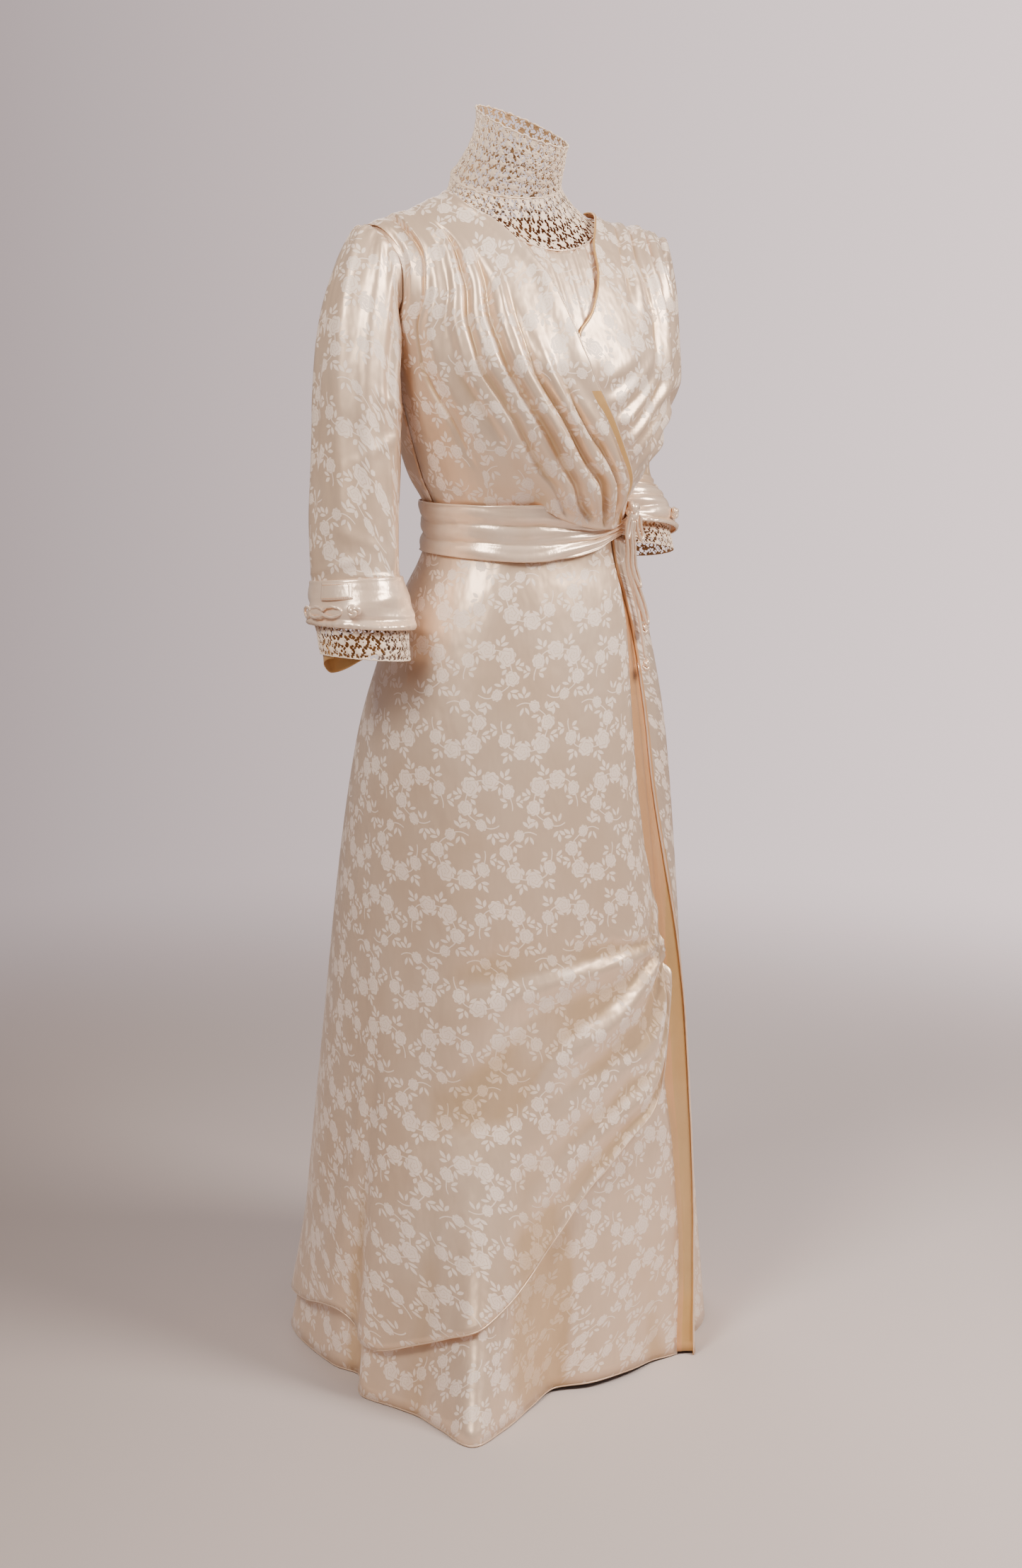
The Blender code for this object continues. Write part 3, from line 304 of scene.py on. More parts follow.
def rouleau(name, route, radius, finish, outward, closed=False, sides=CORD_SIDES, wrinkle=0.05):
    """A tube of cloth: at each point of the route a ring at right angles to it, whose radius swells and
    shrinks by the share wrinkle in a slow spiral, as a bias-cut tube does."""
    route = np.asarray(route, float)
    if closed:
        tangent = unit(np.roll(route, -1, 0) - np.roll(route, 1, 0))
    else:
        tangent = unit(np.gradient(route, axis=0))
    side = unit(np.cross(tangent, outward))
    lift = np.cross(side, tangent)
    length = np.concatenate([[0], np.cumsum(np.linalg.norm(np.diff(route, axis=0), axis=1))])[:, None]
    turn = np.linspace(0, 2 * np.pi, sides, endpoint=False)[None, :]
    spiral = np.sin(turn * 2 + length / radius * 1.3) + 0.6 * np.sin(turn + length / radius * 0.7)
    reach = radius * (1 - wrinkle + wrinkle * spiral)
    if not closed:
        end = np.minimum(length, length[-1] - length) / radius
        reach = reach * (0.35 + 0.65 * np.sqrt(np.clip(1 - (1 - np.clip(end, 0, 1)) ** 2, 0, 1)))
    ring = side[:, None] * np.cos(turn)[..., None] + lift[:, None] * np.sin(turn)[..., None]
    points = route[:, None] + ring * reach[..., None]
    if closed:
        points = np.concatenate([points, points[:1]])
    faces = grid_faces(len(points), sides, around=True)
    if closed:
        faces = faces % (len(route) * sides)
        points = points[:-1]
        return new_piece(name, points, faces, [finish])
    last = (len(route) - 1) * sides
    caps = [list(range(sides)), list(range(last + sides - 1, last - 1, -1))]
    return new_piece(name, points, faces, [finish], caps)


def knotted(name, centre, size, finish, lobes, radius, across, away):
    """A knot of rouleau: a closed line that winds lobes times through the ring and twice round it, a torus
    knot, stretched to the knot's size, with a tube of cloth along it."""
    t = np.linspace(0, 2 * np.pi, 60 * lobes, endpoint=False)
    core = np.stack([np.cos(2 * t), np.zeros(len(t)), np.sin(2 * t)], -1)
    wind = np.cos(lobes * t)
    swing = np.stack([wind * np.cos(2 * t), np.sin(lobes * t), wind * np.sin(2 * t)], -1)
    line = core * KNOT_CORE + swing * KNOT_SWING
    half = np.array(size) / 2 - radius
    axes = np.stack([across * half[0], away * half[1], np.array([0, 0, half[2]])])
    outward = unit(swing @ axes)
    return rouleau(name, centre + line @ axes, radius, finish, outward, closed=True, sides=12)


def linear(colour):
    """An sRGB hex colour such as "D9B882" as linear red, green, blue and alpha."""
    parts = np.array([int(colour[i:i + 2], 16) for i in (0, 2, 4)]) / 255
    return (*np.where(parts <= 0.04045, parts / 12.92, ((parts + 0.055) / 1.055) ** 2.4), 1.0)


def add(tree, kind, *values, **settings):
    """Adds a shader node: settings are its properties, and values its inputs in order, a socket to link, a
    value, or None to leave one alone. Returns the node's first output."""
    node = tree.nodes.new("ShaderNode" + kind)
    for name, value in settings.items():
        setattr(node, name, value)
    for socket, value in zip(node.inputs, values):
        if isinstance(value, bpy.types.NodeSocket):
            tree.links.new(value, socket)
        elif value is not None:
            socket.default_value = value
    return node.outputs[0]


def cloth_finish(name, roughness, sheen=0.0):
    """A new material with a Principled shader, and its tree and shader."""
    made = bpy.data.materials.new(name)
    made.use_nodes = True
    shader = made.node_tree.nodes["Principled BSDF"]
    shader.inputs["Roughness"].default_value = roughness
    shader.inputs["Sheen Weight"].default_value = sheen
    shader.inputs["Sheen Roughness"].default_value = SHEEN_ROUGHNESS
    return made, made.node_tree, shader


def dress(tree, shader, colour, height, strength, distance):
    """Gives the shader its colour, and the height as a bump of that strength and distance."""
    relief = tree.nodes.new("ShaderNodeBump")
    relief.inputs["Strength"].default_value = strength
    relief.inputs["Distance"].default_value = distance
    tree.links.new(height, relief.inputs["Height"])
    tree.links.new(relief.outputs[0], shader.inputs["Normal"])
    tree.links.new(colour, shader.inputs["Base Color"])


# Silk satin, piece-dyed and pressed: close shine along the folds, faint wrinkles and slubs
SATIN_LIGHT = "FDE9D6"
SATIN_DEEP = "EFCFAE"
FOLD_SHADE_GOLD = "D0AE80"       # painted shade: the golden colour laid deep in the folds, where shade falls
SATIN_ROUGHNESS = 0.26
SATIN_METALLIC = 0.38      # satin reflects much like metal, in its own colour
SATIN_SLUB = 0.0016        # spacing of the slubs, drawn coarser than the real 0.4 mm so that they show
SATIN_CLOUD = 0.035        # size of the uneven patches
SATIN_CRUMPLE = 0.010      # size of the small wrinkles
SATIN_SHEEN = 0.12
SATIN_BUMP = (0.45, 0.0024)   # strength and distance
SATIN_RELIEF = (0.55, 0.8, 0.08)   # of the wrinkles, the patches and the slubs in that bump
SHEEN_ROUGHNESS = 0.4


def painted_fold_shade(tree, colour):
    """Painted shade: the colour, turned golden by as much as the cloth's own attribute says it lies deep in a
    fold.
    """
    depth = add(tree, "Attribute", attribute_name="hollow").node.outputs["Fac"]
    return add(tree, "MixRGB", depth, colour, linear(FOLD_SHADE_GOLD))


def satin_finish(name, light, deep, roughness):
    """Satin: a cloudy mix of two close colours, with a bump of fine slubs and soft wrinkles."""
    made, tree, shader = cloth_finish(name, roughness, SATIN_SHEEN)
    shader.inputs["Metallic"].default_value = SATIN_METALLIC
    place = add(tree, "TexCoord").node.outputs["Object"]
    cloud = add(tree, "TexNoise", place, None, 1 / SATIN_CLOUD, 3.0, 0.55)
    long_grain = add(tree, "Mapping", place, None, None, (1, 1, 0.12))
    slub = add(tree, "TexNoise", long_grain, None, 1 / SATIN_SLUB, 2.0, 0.5)
    soft_grain = add(tree, "Mapping", place, None, None, (1, 1, 0.6))
    crumple = add(tree, "TexNoise", soft_grain, None, 1 / SATIN_CRUMPLE, 2.0, 0.5)
    height = add(tree, "Math", crumple, SATIN_RELIEF[0], operation="MULTIPLY")
    height = add(tree, "Math", cloud, SATIN_RELIEF[1], height, operation="MULTIPLY_ADD")
    height = add(tree, "Math", slub, SATIN_RELIEF[2], height, operation="MULTIPLY_ADD")
    # Painted shade: the colour turns golden deep in the folds, where shade falls
    colour = painted_fold_shade(tree, add(tree, "MixRGB", cloud, linear(deep), linear(light)))
    dress(tree, shader, colour, height, *SATIN_BUMP)
    return made


satin = satin_finish("ivory_silk_satin", SATIN_LIGHT, SATIN_DEEP, SATIN_ROUGHNESS)

knot_turn = np.radians(KNOT_ANGLE)
tie_across = np.array([np.cos(knot_turn), np.sin(knot_turn), 0])
tie_away = np.array([np.sin(knot_turn), -np.cos(knot_turn), 0])


knot = knotted("tie_knot_of_rouleau", tie_point(*KNOT_CENTRE), KNOT_SIZE, satin, KNOT_PETALS, KNOT_RADIUS,
               tie_across, tie_away)
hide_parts("tie_knot")
for cord_name, offsets in {**LOOPS, **TAILS}.items():
    line = np.array([tie_point(*p) for p in smooth_route(from_knot(offsets), CORD_STEPS)])
    cord = rouleau(cord_name + "_rouleau", line, CORD_RADIUS, satin, tie_away)
    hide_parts(cord_name)
    if cord_name in TAILS:
        last_side, last_out, last_down = offsets[-1]
        flower = knotted(cord_name + "_petals", tie_point(last_side, last_out, last_down + TAIL_END_DROP),
                         TAIL_END_SIZE, satin, TAIL_END_PETALS, TAIL_END_RADIUS, tie_across, tie_away)
        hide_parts(cord_name + "_end")

# Silk damask: one cloth for the whole gown. The ground is a glossy satin weave, and the figure, crescents of
# roses with leaf sprigs, is the same yarn woven matt, so that it reads lighter or darker as the light falls.
MOTIF_ACROSS = 0.081       # repeat across the cloth
MOTIF_DOWN = 0.148         # repeat down the cloth, which holds one arch and one upturned crescent
CRESCENT_RADIUS = 0.0275   # from the middle of a crescent to the line of its roses
ROSE_STEP = np.radians(54) # from rose to rose round the crescent
FIRST_ROSE = np.radians(30)
LAST_ROSE = 4
ROSE_SIZE, ROSE_FALL, LARGEST_ROSE = 0.0112, 0.0019, 1.6
# Leaflets of a sprig between two roses: place outwards and sideways, direction, half length, half width
LEAFLETS = ((0.0142, 0.0, 0.0, 0.0050, 0.0021), (0.0090, 0.0040, 46.0, 0.0048, 0.0020),
            (-0.0092, 0.0032, 150.0, 0.0046, 0.0019))
STEM_WIDTH = 0.0006
CRESCENT_WAVES, CRESCENT_WAVE = 5.0, 0.0011   # waves of the roses' line round the crescent, and their height
BEFORE_FIRST, AFTER_LAST = 0.95, 0.86   # how far the pattern runs past its end roses, in steps of a rose
ROSE_LOBES, LOBE_DEPTH, ROSE_EDGE = 8.0, 0.16, 0.88
PETAL_LINE = 0.62          # how much of the figure a petal line takes away
CURL_TURNS, CURL_WAVE, CURL_THIN = 15.0, 1.1, 0.80   # how close, how bent and how thin the petal lines are
UPTURNED_ACROSS, UPTURNED_DOWN = 0.55, 0.42   # place of the upturned crescent, in shares of the repeat
DAMASK_SHEEN = 0.10
DAMASK_BUMP = (0.55, 0.0035)   # strength and distance
GROUND_LIGHT, GROUND_DEEP = "F2DBC3", "E0C09F"
FIGURE_LIGHT, FIGURE_DEEP = "FFEEE0", "F4DECA"
GROUND_ROUGHNESS, FIGURE_ROUGHNESS = 0.36, 0.50
GROUND_METALLIC, FIGURE_METALLIC = 0.46, 0.12
YELLOWING = 0.11           # size of the patches where the old silk has darkened
CRUMPLE = 0.022            # size of the small soft wrinkles
FIGURE_RAISED = 0.10       # how far the figure stands up, as a share of the wrinkles
LINING_LIGHT, LINING_DEEP, LINING_ROUGHNESS = "EDB989", "DCA46F", 0.38
FACING_LIGHT, FACING_DEEP, FACING_ROUGHNESS = "E4BB7E", "D19F5E", 0.34
WALL = 0.0014              # damask and its lining together, as the solids have it
HOLLOW_START, HOLLOW_FULL = 0.0002, 0.0030   # depth of a fold where the painted golden shade starts, and how fast it fills
HOLLOW_MOST = 0.62         # most of the painted golden shade that a fold gets
SMOOTHINGS = 60            # how often the grid is averaged to tell its folds from its form


def crescent(tree, u, v, from_u, from_v, upturned):
    """1 where a crescent of roses is woven, else 0. The cloth is folded into one repeat, mirrored in every
    second one, and then read round the crescent's middle: the nearest of its roses, each a lobed disc with
    curled petal lines, and the nearest sprig, three leaflets and their mirror images on a stem. A step is a
    result's name, a Math operation and its inputs, which are numbers or the names of earlier results."""
    full_turn = 2 * np.pi / ROSE_STEP
    steps = [
        ("down", "SUBTRACT", "v", from_v), ("repeat", "ADD", "down", MOTIF_DOWN / 2),
        ("repeat", "DIVIDE", "repeat", MOTIF_DOWN), ("repeat", "FLOOR", "repeat"),
        ("hand", "FLOORED_MODULO", "repeat", 2.0), ("hand", "MULTIPLY", "hand", 2.0),
        ("hand", "SUBTRACT", 1.0, "hand"),
        ("across", "SUBTRACT", "u", from_u), ("across", "MULTIPLY", "across", "hand"),
        ("x", "WRAP", "across", MOTIF_ACROSS / 2, -MOTIF_ACROSS / 2),
        ("y", "WRAP", "down", MOTIF_DOWN / 2, -MOTIF_DOWN / 2),
        ("y", "MULTIPLY", "y", 1.0 if upturned else -1.0),
        ("turn", "ARCTAN2", "y", "x"), ("xx", "MULTIPLY", "x", "x"), ("yy", "MULTIPLY", "y", "y"),
        ("away", "ADD", "xx", "yy"), ("away", "SQRT", "away"),
        ("wave", "MULTIPLY", "turn", CRESCENT_WAVES), ("wave", "SINE", "wave"),
        ("away", "MULTIPLY_ADD", "wave", CRESCENT_WAVE, "away"),
        ("step", "SUBTRACT", "turn", FIRST_ROSE), ("step", "DIVIDE", "step", ROSE_STEP),
        ("step", "WRAP", "step", full_turn - BEFORE_FIRST, -BEFORE_FIRST),

        ("rose", "ROUND", "step"), ("rose", "MAXIMUM", "rose", 0.0),
        ("rose", "MINIMUM", "rose", float(LAST_ROSE)),
        ("off", "SUBTRACT", "step", "rose"), ("off", "MULTIPLY", "off", ROSE_STEP),
        ("out", "COSINE", "off"), ("out", "MULTIPLY", "away", "out"),
        ("out", "SUBTRACT", "out", CRESCENT_RADIUS),
        ("side", "SINE", "off"), ("side", "MULTIPLY", "away", "side"),
        ("size", "SUBTRACT", "rose", LARGEST_ROSE), ("size", "ABSOLUTE", "size"),
        ("size", "MULTIPLY", "size", ROSE_FALL), ("size", "SUBTRACT", ROSE_SIZE, "size"),
        ("share", "MULTIPLY", "out", "out"), ("sides", "MULTIPLY", "side", "side"),
        ("share", "ADD", "share", "sides"), ("share", "SQRT", "share"), ("share", "DIVIDE", "share", "size"),
        ("petal", "ARCTAN2", "side", "out"),
        ("lobes", "MULTIPLY", "petal", ROSE_LOBES / 2), ("lobes", "SINE", "lobes"),
        ("lobes", "ABSOLUTE", "lobes"), ("lobes", "MULTIPLY", "lobes", LOBE_DEPTH),
        ("flower", "SUBTRACT", "share", "lobes"), ("flower", "LESS_THAN", "flower", ROSE_EDGE),
        ("curl", "MULTIPLY", "share", CURL_TURNS), ("swirl", "MULTIPLY", "petal", 2.0),
        ("curl", "ADD", "curl", "swirl"), ("swirl", "MULTIPLY", "petal", 5.0), ("swirl", "SINE", "swirl"),
        ("swirl", "MULTIPLY", "swirl", CURL_WAVE), ("curl", "ADD", "curl", "swirl"),
        ("curl", "SINE", "curl"), ("line", "GREATER_THAN", "curl", CURL_THIN),
        ("line", "MULTIPLY", "line", PETAL_LINE), ("line", "SUBTRACT", 1.0, "line"),
        ("woven", "MULTIPLY", "flower", "line"),

        ("sprig", "SUBTRACT", "step", 0.5), ("sprig", "ROUND", "sprig"), ("sprig", "ADD", "sprig", 0.5),
        ("off", "SUBTRACT", "step", "sprig"), ("off", "MULTIPLY", "off", ROSE_STEP),
        ("out", "COSINE", "off"), ("out", "MULTIPLY", "away", "out"),
        ("out", "SUBTRACT", "out", CRESCENT_RADIUS),
        ("side", "SINE", "off"), ("side", "MULTIPLY", "away", "side"), ("side", "ABSOLUTE", "side"),
    ]
    for leaf_out, leaf_side, direction, half_length, half_width in LEAFLETS:
        cosine, sine = np.cos(np.radians(direction)), np.sin(np.radians(direction))
        steps += [
            ("to_out", "SUBTRACT", "out", leaf_out), ("to_side", "SUBTRACT", "side", leaf_side),
            ("length", "MULTIPLY", "to_out", cosine / half_length),
            ("more", "MULTIPLY", "to_side", sine / half_length), ("length", "ADD", "length", "more"),
            ("width", "MULTIPLY", "to_out", -sine / half_width),
            ("more", "MULTIPLY", "to_side", cosine / half_width), ("width", "ADD", "width", "more"),
            ("length", "MULTIPLY", "length", "length"), ("width", "ABSOLUTE", "width"),
            ("leaf", "ADD", "length", "width"), ("leaf", "LESS_THAN", "leaf", 1.0),
            ("woven", "MAXIMUM", "woven", "leaf"),
        ]
    steps += [
        ("stem", "SUBTRACT", "away", CRESCENT_RADIUS), ("stem", "ABSOLUTE", "stem"),
        ("stem", "LESS_THAN", "stem", STEM_WIDTH), ("woven", "MAXIMUM", "woven", "stem"),
        ("ends", "SUBTRACT", "step", LAST_ROSE / 2), ("ends", "ABSOLUTE", "ends"),
        ("ends", "LESS_THAN", "ends", LAST_ROSE / 2 + AFTER_LAST), ("woven", "MULTIPLY", "woven", "ends"),
    ]
    found = {"u": u, "v": v}
    for result, operation, *inputs in steps:
        inputs = [found[value] if isinstance(value, str) else value for value in inputs]
        found[result] = add(tree, "Math", *inputs, operation=operation)
    return found["woven"]


def damask_finish(name):
    """The damask: both crescents of the repeat give the figure, which changes the colour, the roughness and
    the lustre; the colour is also patchy with age, and a bump gives the small wrinkles of thin silk."""
    made, tree, shader = cloth_finish(name, GROUND_ROUGHNESS, DAMASK_SHEEN)
    coordinates = add(tree, "TexCoord").node.outputs
    place = coordinates["Object"]
    u, v = add(tree, "SeparateXYZ", coordinates["UV"]).node.outputs[:2]
    arch = crescent(tree, u, v, 0.0, 0.0, False)
    upturned = crescent(tree, u, v, MOTIF_ACROSS * UPTURNED_ACROSS, MOTIF_DOWN * UPTURNED_DOWN, True)
    figure_part = add(tree, "Math", arch, upturned, operation="MAXIMUM")
    age = add(tree, "TexNoise", place, None, 1 / YELLOWING, 2.0, 0.6)
    ground = add(tree, "MixRGB", age, linear(GROUND_DEEP), linear(GROUND_LIGHT))
    figure_colour = add(tree, "MixRGB", age, linear(FIGURE_DEEP), linear(FIGURE_LIGHT))
    for name_of, on_ground, on_figure in (("Roughness", GROUND_ROUGHNESS, FIGURE_ROUGHNESS),
                                          ("Metallic", GROUND_METALLIC, FIGURE_METALLIC)):
        value = add(tree, "Math", figure_part, on_figure - on_ground, on_ground, operation="MULTIPLY_ADD")
        tree.links.new(value, shader.inputs[name_of])
    long_grain = add(tree, "Mapping", place, None, None, (1, 1, 0.45))
    wrinkle = add(tree, "TexNoise", long_grain, None, 1 / CRUMPLE, 2.0, 0.5)
    height = add(tree, "Math", figure_part, FIGURE_RAISED, wrinkle, operation="MULTIPLY_ADD")
    # Painted shade: the colour turns golden deep in the folds, where shade falls
    colour = painted_fold_shade(tree, add(tree, "MixRGB", figure_part, ground, figure_colour))
    dress(tree, shader, colour, height, *DAMASK_BUMP)
    return made


damask = damask_finish("ivory_silk_damask")
lining = satin_finish("peach_silk_lining", LINING_LIGHT, LINING_DEEP, LINING_ROUGHNESS)
facing = satin_finish("golden_silk_facing", FACING_LIGHT, FACING_DEEP, FACING_ROUGHNESS)


def outer_face(points, thickness):
    """A grid round an arm, its last column on its first, moved out along its own normals."""
    ring = points[:, :-1]
    across = np.roll(ring, -1, 1) - np.roll(ring, 1, 1)
    across = np.concatenate([across, across[:, :1]], 1)
    return points + unit(np.cross(np.gradient(points, axis=0), across)) * np.asarray(thickness)[..., None]


def hollows(points):
    """How deep each place lies in a fold, which sets its painted golden shade, from 0 to HOLLOW_MOST: the
    grid is smoothed by averaging each place with its neighbours again and again, and compared with itself
    along its normals."""
    smooth = points.copy()
    for _ in range(SMOOTHINGS):
        smooth[1:-1] = (smooth[:-2] + 2 * smooth[1:-1] + smooth[2:]) / 4
        smooth[:, 1:-1] = (smooth[:, :-2] + 2 * smooth[:, 1:-1] + smooth[:, 2:]) / 4
    normal = unit(np.cross(np.gradient(points, axis=0), np.gradient(points, axis=1)))
    depth = ((smooth - points) * normal).sum(-1)
    return np.clip((depth - HOLLOW_START) / HOLLOW_FULL, 0, HOLLOW_MOST)


def cloth(name, points, finishes, replaced, around=False, thickness=WALL, plain=None,
          marks=None, from_column=0.5, turn=0.0):
    """A sheet of cloth from the grid of its outer face, in heights above the floor, with a wall inwards. The
    UV map lays it flat in metres: u is the length along the row from one column, v the length down the
    column, both measured on the smooth form `plain`, and turn slants the grain. marks gives each cell a
    material; around welds the last column to the first."""
    plain = points if plain is None else plain
    rows, columns = points.shape[:2]
    u = np.zeros((rows, columns))
    v = np.zeros((rows, columns))
    u[:, 1:] = np.cumsum(np.linalg.norm(np.diff(plain, axis=1), axis=-1), 1)
    u -= u[:, [int(from_column * (columns - 1))]]
    v[1:] = np.cumsum(np.linalg.norm(np.diff(plain, axis=0), axis=-1), 0)
    slant = np.radians(turn)
    u, v = u * np.cos(slant) + v * np.sin(slant), v * np.cos(slant) - u * np.sin(slant)
    faces = grid_faces(rows, columns)
    piece = new_piece(name, points - (0, 0, SHOULDER_LINE), faces, finishes)
    flat = piece.data.uv_layers.new(name="cloth")
    flat.data.foreach_set("uv", np.stack([u.ravel()[faces], v.ravel()[faces]], -1).ravel())
    # Painted shade: how much golden shade each place gets, from how deep it lies in a fold
    hollow = piece.data.attributes.new("hollow", "FLOAT", "POINT")
    hollow.data.foreach_set("value", hollows(points).ravel())
    if marks is not None:
        piece.data.polygons.foreach_set("material_index", marks.ravel())
    if around:
        weld = piece.modifiers.new("weld", "WELD")
        weld.merge_threshold = 0.00001
    thick = piece.modifiers.new("thickness", "SOLIDIFY")
    thick.thickness = thickness
    thick.offset = -1
    thick.material_offset = 1
    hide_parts(*replaced)
    return piece


def grid(rows, columns):
    """Row and column values as two arrays that broadcast to a grid."""
    return np.asarray(rows, float)[:, None], np.asarray(columns, float)[None, :]


# Bodice. Two wrapped fronts of damask and a back, gathered into the shoulder seams. The right front crosses
# over the left and its folds run to the knot; its foot pouches over the belt.
WAIST = 0.995
ARMPIT = 1.200
SHOULDER_POWER = 2.5
BACK_POWER = 3.2
SHOULDER_SEAM = ((-0.240, 1.318), (-0.196, 1.336), (-0.150, 1.345), (-0.100, 1.361), (-0.070, 1.370),
                 (0.0, 1.378), (0.070, 1.360), (0.100, 1.345), (0.130, 1.3375), (0.160, 1.3335),
                 (0.196, 1.328), (0.240, 1.318))
ARMHOLE_EDGE = ((0.0, 90), (0.9, 90), (1.08, 82), (1.25, 69), (1.5, 63), (1.75, 67), (2.0, 75))
OVER_EDGE = ((0.0, 34), (0.12, 31), (0.32, 22), (0.50, 12), (0.73, 2), (0.90, -2.5), (1.02, -5), (1.23, -9),
             (1.36, -13.5), (1.55, -20), (1.74, -26), (2.0, -27))
UNDER_EDGE = ((0.0, -34), (0.30, -26), (0.60, -16), (0.85, -9), (1.02, -3), (1.12, 4), (1.28, 9.5),
              (1.40, 11), (1.56, 15), (1.76, 19.5), (2.0, 23))
CROWD = ((0.0, 0.60), (0.35, 0.74), (0.63, 0.85), (1.0, 1.10), (1.2, 1.18), (1.5, 1.0), (1.88, 0.80),
         (2.0, 0.78))
OVER_FOOT = ((-90, 1.006), (-36, 1.006), (-26, 1.024), (-18, 1.028), (-10, 1.021), (0, 1.011), (10, 1.004),
             (22, 1.001), (34, 1.005))
BACK_NECK = ((0, 1.55), (8.3, 1.58), (16.7, 1.68), (25, 1.87), (31, 1.9999), (90, 1.9999))
BACK_HALF_ANGLE = 75
TOP_LEVEL, FOOT_LEVEL = 1.9995, 0.06
ROW_CROWDING = 1.05        # power that brings a panel's rows closer together at the shoulder
SEAM_ANGLE = 0.30
SEAM_OUT = 0.004
SEAM_SHARE = 0.10
TUCKED_OUT = 0.0035        # of the right front's foot, inside the belt
SHOULDER_OUT = 0.0070
RIGHT_OUT, WRAP_OUT = 0.0070, 0.0045   # of the right front, and how much further out where it wraps over
TUCK_SHARE, TUCK_HALF, TUCK_OUT = 0.25, 0.010, 0.0065   # its deep outer tuck beside the armhole
POUCH_OUT = 0.010          # how far it pouches over the belt
LEFT_OUT, LEFT_SHOWN_OUT, LEFT_TUCKED_OUT = 0.0058, 0.0022, 0.0016
BACK_POUCH, BACK_SEAM = 0.003, 0.0012
SEAM_FLAT = 0.85           # share of the right front's relief that its shoulder seam presses flat
RIGHT_GATHERS, LEFT_GATHERS, BACK_GATHERS = 0.0004, 0.0009, 0.0010   # heights of the seams' fine gathers
LEFT_FAN = 0.0030          # height of the short folds that fan out from the left front's edge
BACK_TUCKS = (0.0030, 0.0024)
RIGHT_GRAIN, LEFT_GRAIN = -12, 10   # degrees by which the fronts' grain slants
# Main pleats, near the solids' own: share of the panel, half width, how far out, lowest and highest level
OVER_PLEATS = (
    (0.36, 0.08, 0.0030, 0.40, 1.45),
    (0.49, 0.09, 0.0052, 0.15, 1.75),
    (0.61, 0.08, 0.0058, 0.10, 1.65),
    (0.73, 0.06, 0.0095, 0.05, 1.45),
    (0.83, 0.05, 0.0080, 0.02, 1.15),
    (0.915, 0.05, 0.0060, 0.02, 0.90),
)
UNDER_PLEATS = (
    (0.30, 0.08, 0.0040, 1.00, 2.1),
    (0.52, 0.08, 0.0070, 0.55, 2.1),
    (0.70, 0.08, 0.0060, 0.30, 1.9),
    (0.85, 0.08, 0.0050, 0.20, 1.6),
)
# Creases between and on them, in the same columns; a negative one is a groove
OVER_CREASES = (
    (0.232, 0.026, -0.0024, 0.35, 2.1),
    (0.330, 0.070, 0.0018, 0.35, 1.7),
    (0.440, 0.044, -0.0020, 0.45, 1.45),
    (0.556, 0.036, -0.0046, 0.12, 1.72),
    (0.668, 0.030, -0.0050, 0.08, 1.50),
    (0.704, 0.022, 0.0024, 0.08, 1.30),
    (0.780, 0.026, -0.0056, 0.03, 1.22),
    (0.808, 0.018, 0.0020, 0.02, 1.00),
    (0.872, 0.024, -0.0050, 0.02, 0.95),
    (0.948, 0.018, -0.0028, 0.02, 0.70),
)
UNDER_CREASES = (
    (0.22, 0.040, -0.0022, 1.10, 2.1),
    (0.41, 0.036, -0.0036, 0.85, 2.1),
    (0.61, 0.036, -0.0040, 0.75, 2.1),
    (0.78, 0.034, -0.0034, 0.60, 2.0),
    (0.90, 0.024, -0.0022, 0.40, 1.7),
)
EDGE_ROLL = 0.0026         # how far the right front's free edge rolls out
FACING_SHARE = 0.962       # share of the panel from which the rolled edge shows its facing
FACING_TOP = 0.80          # torso level up to which it does


def torso(angle, level):
    """A point of the figure: angle from the front, level 0 at the waist, 1 at the armpit, 2 on the shoulder
    seam. Above the armpit each ring closes towards the seam on a superellipse."""
    angle, level = np.broadcast_arrays(np.asarray(angle, float), np.asarray(level, float))
    sine, cosine = np.sin(np.radians(angle)), np.cos(np.radians(angle))
    turn = np.clip(level - 1, 0, 1) * np.pi / 2
    roundness = np.where(cosine > 0, SHOULDER_POWER, BACK_POWER)
    rise = np.sin(turn) ** (2 / roundness)
    close = np.maximum(np.cos(turn), 0) ** (2 / roundness)
    low = WAIST + (ARMPIT - WAIST) * np.minimum(level, 1)
    height = low + rise * 0.16
    for _ in range(4):
        x = along(TORSO_COLUMNS, TORSO, "half_width", height) * power(sine, 2 / RING_POWER)
        height = low + rise * (curve(SHOULDER_SEAM, x) - ARMPIT)
    front = along(TORSO_COLUMNS, TORSO, "front", height)
    back = along(TORSO_COLUMNS, TORSO, "back", height)
    depth = np.where(cosine > 0, front, back) * close
    y = along(TORSO_COLUMNS, TORSO, "centre", height) - depth * power(cosine, 2 / RING_POWER)
    return np.stack([x, y, height], -1)


def figure(angle, level, out):
    """A point of the figure moved out along its normal, which comes from small steps either way."""
    across = torso(np.asarray(angle) + 0.5, level) - torso(np.asarray(angle) - 0.5, level)
    down = torso(angle, np.asarray(level) - 0.005) - torso(angle, np.asarray(level) + 0.005)
    return torso(angle, level) + unit(np.cross(down, across)) * np.asarray(out)[..., None]


def pleats(table, share, level, ends=0.25):
    """How far a front's pleats stand out: half-cosine ridges along the panel, fading at both ends."""
    out = 0
    for at, spread, reach, low, high in table:
        shown = ease(low, low + ends, level) * (1 - ease(high - 0.35, high, level))
        out = out + reach * shown * bump((share - at) / spread)
    return out


def leaning(share, level):
    """The share moved a little back and forth along the panel, so that no crease runs dead straight."""
    return share + 0.006 * np.sin(level * 7.0 + share * 9.0) + 0.004 * np.sin(level * 15.0 - share * 23.0)


def panel(rows, columns):
    """Torso levels from the shoulder seam down to the foot, and shares across a panel."""
    down = np.linspace(0, 1, rows) ** ROW_CROWDING
    return grid(TOP_LEVEL - (TOP_LEVEL - FOOT_LEVEL) * down, np.linspace(0, 1, columns))


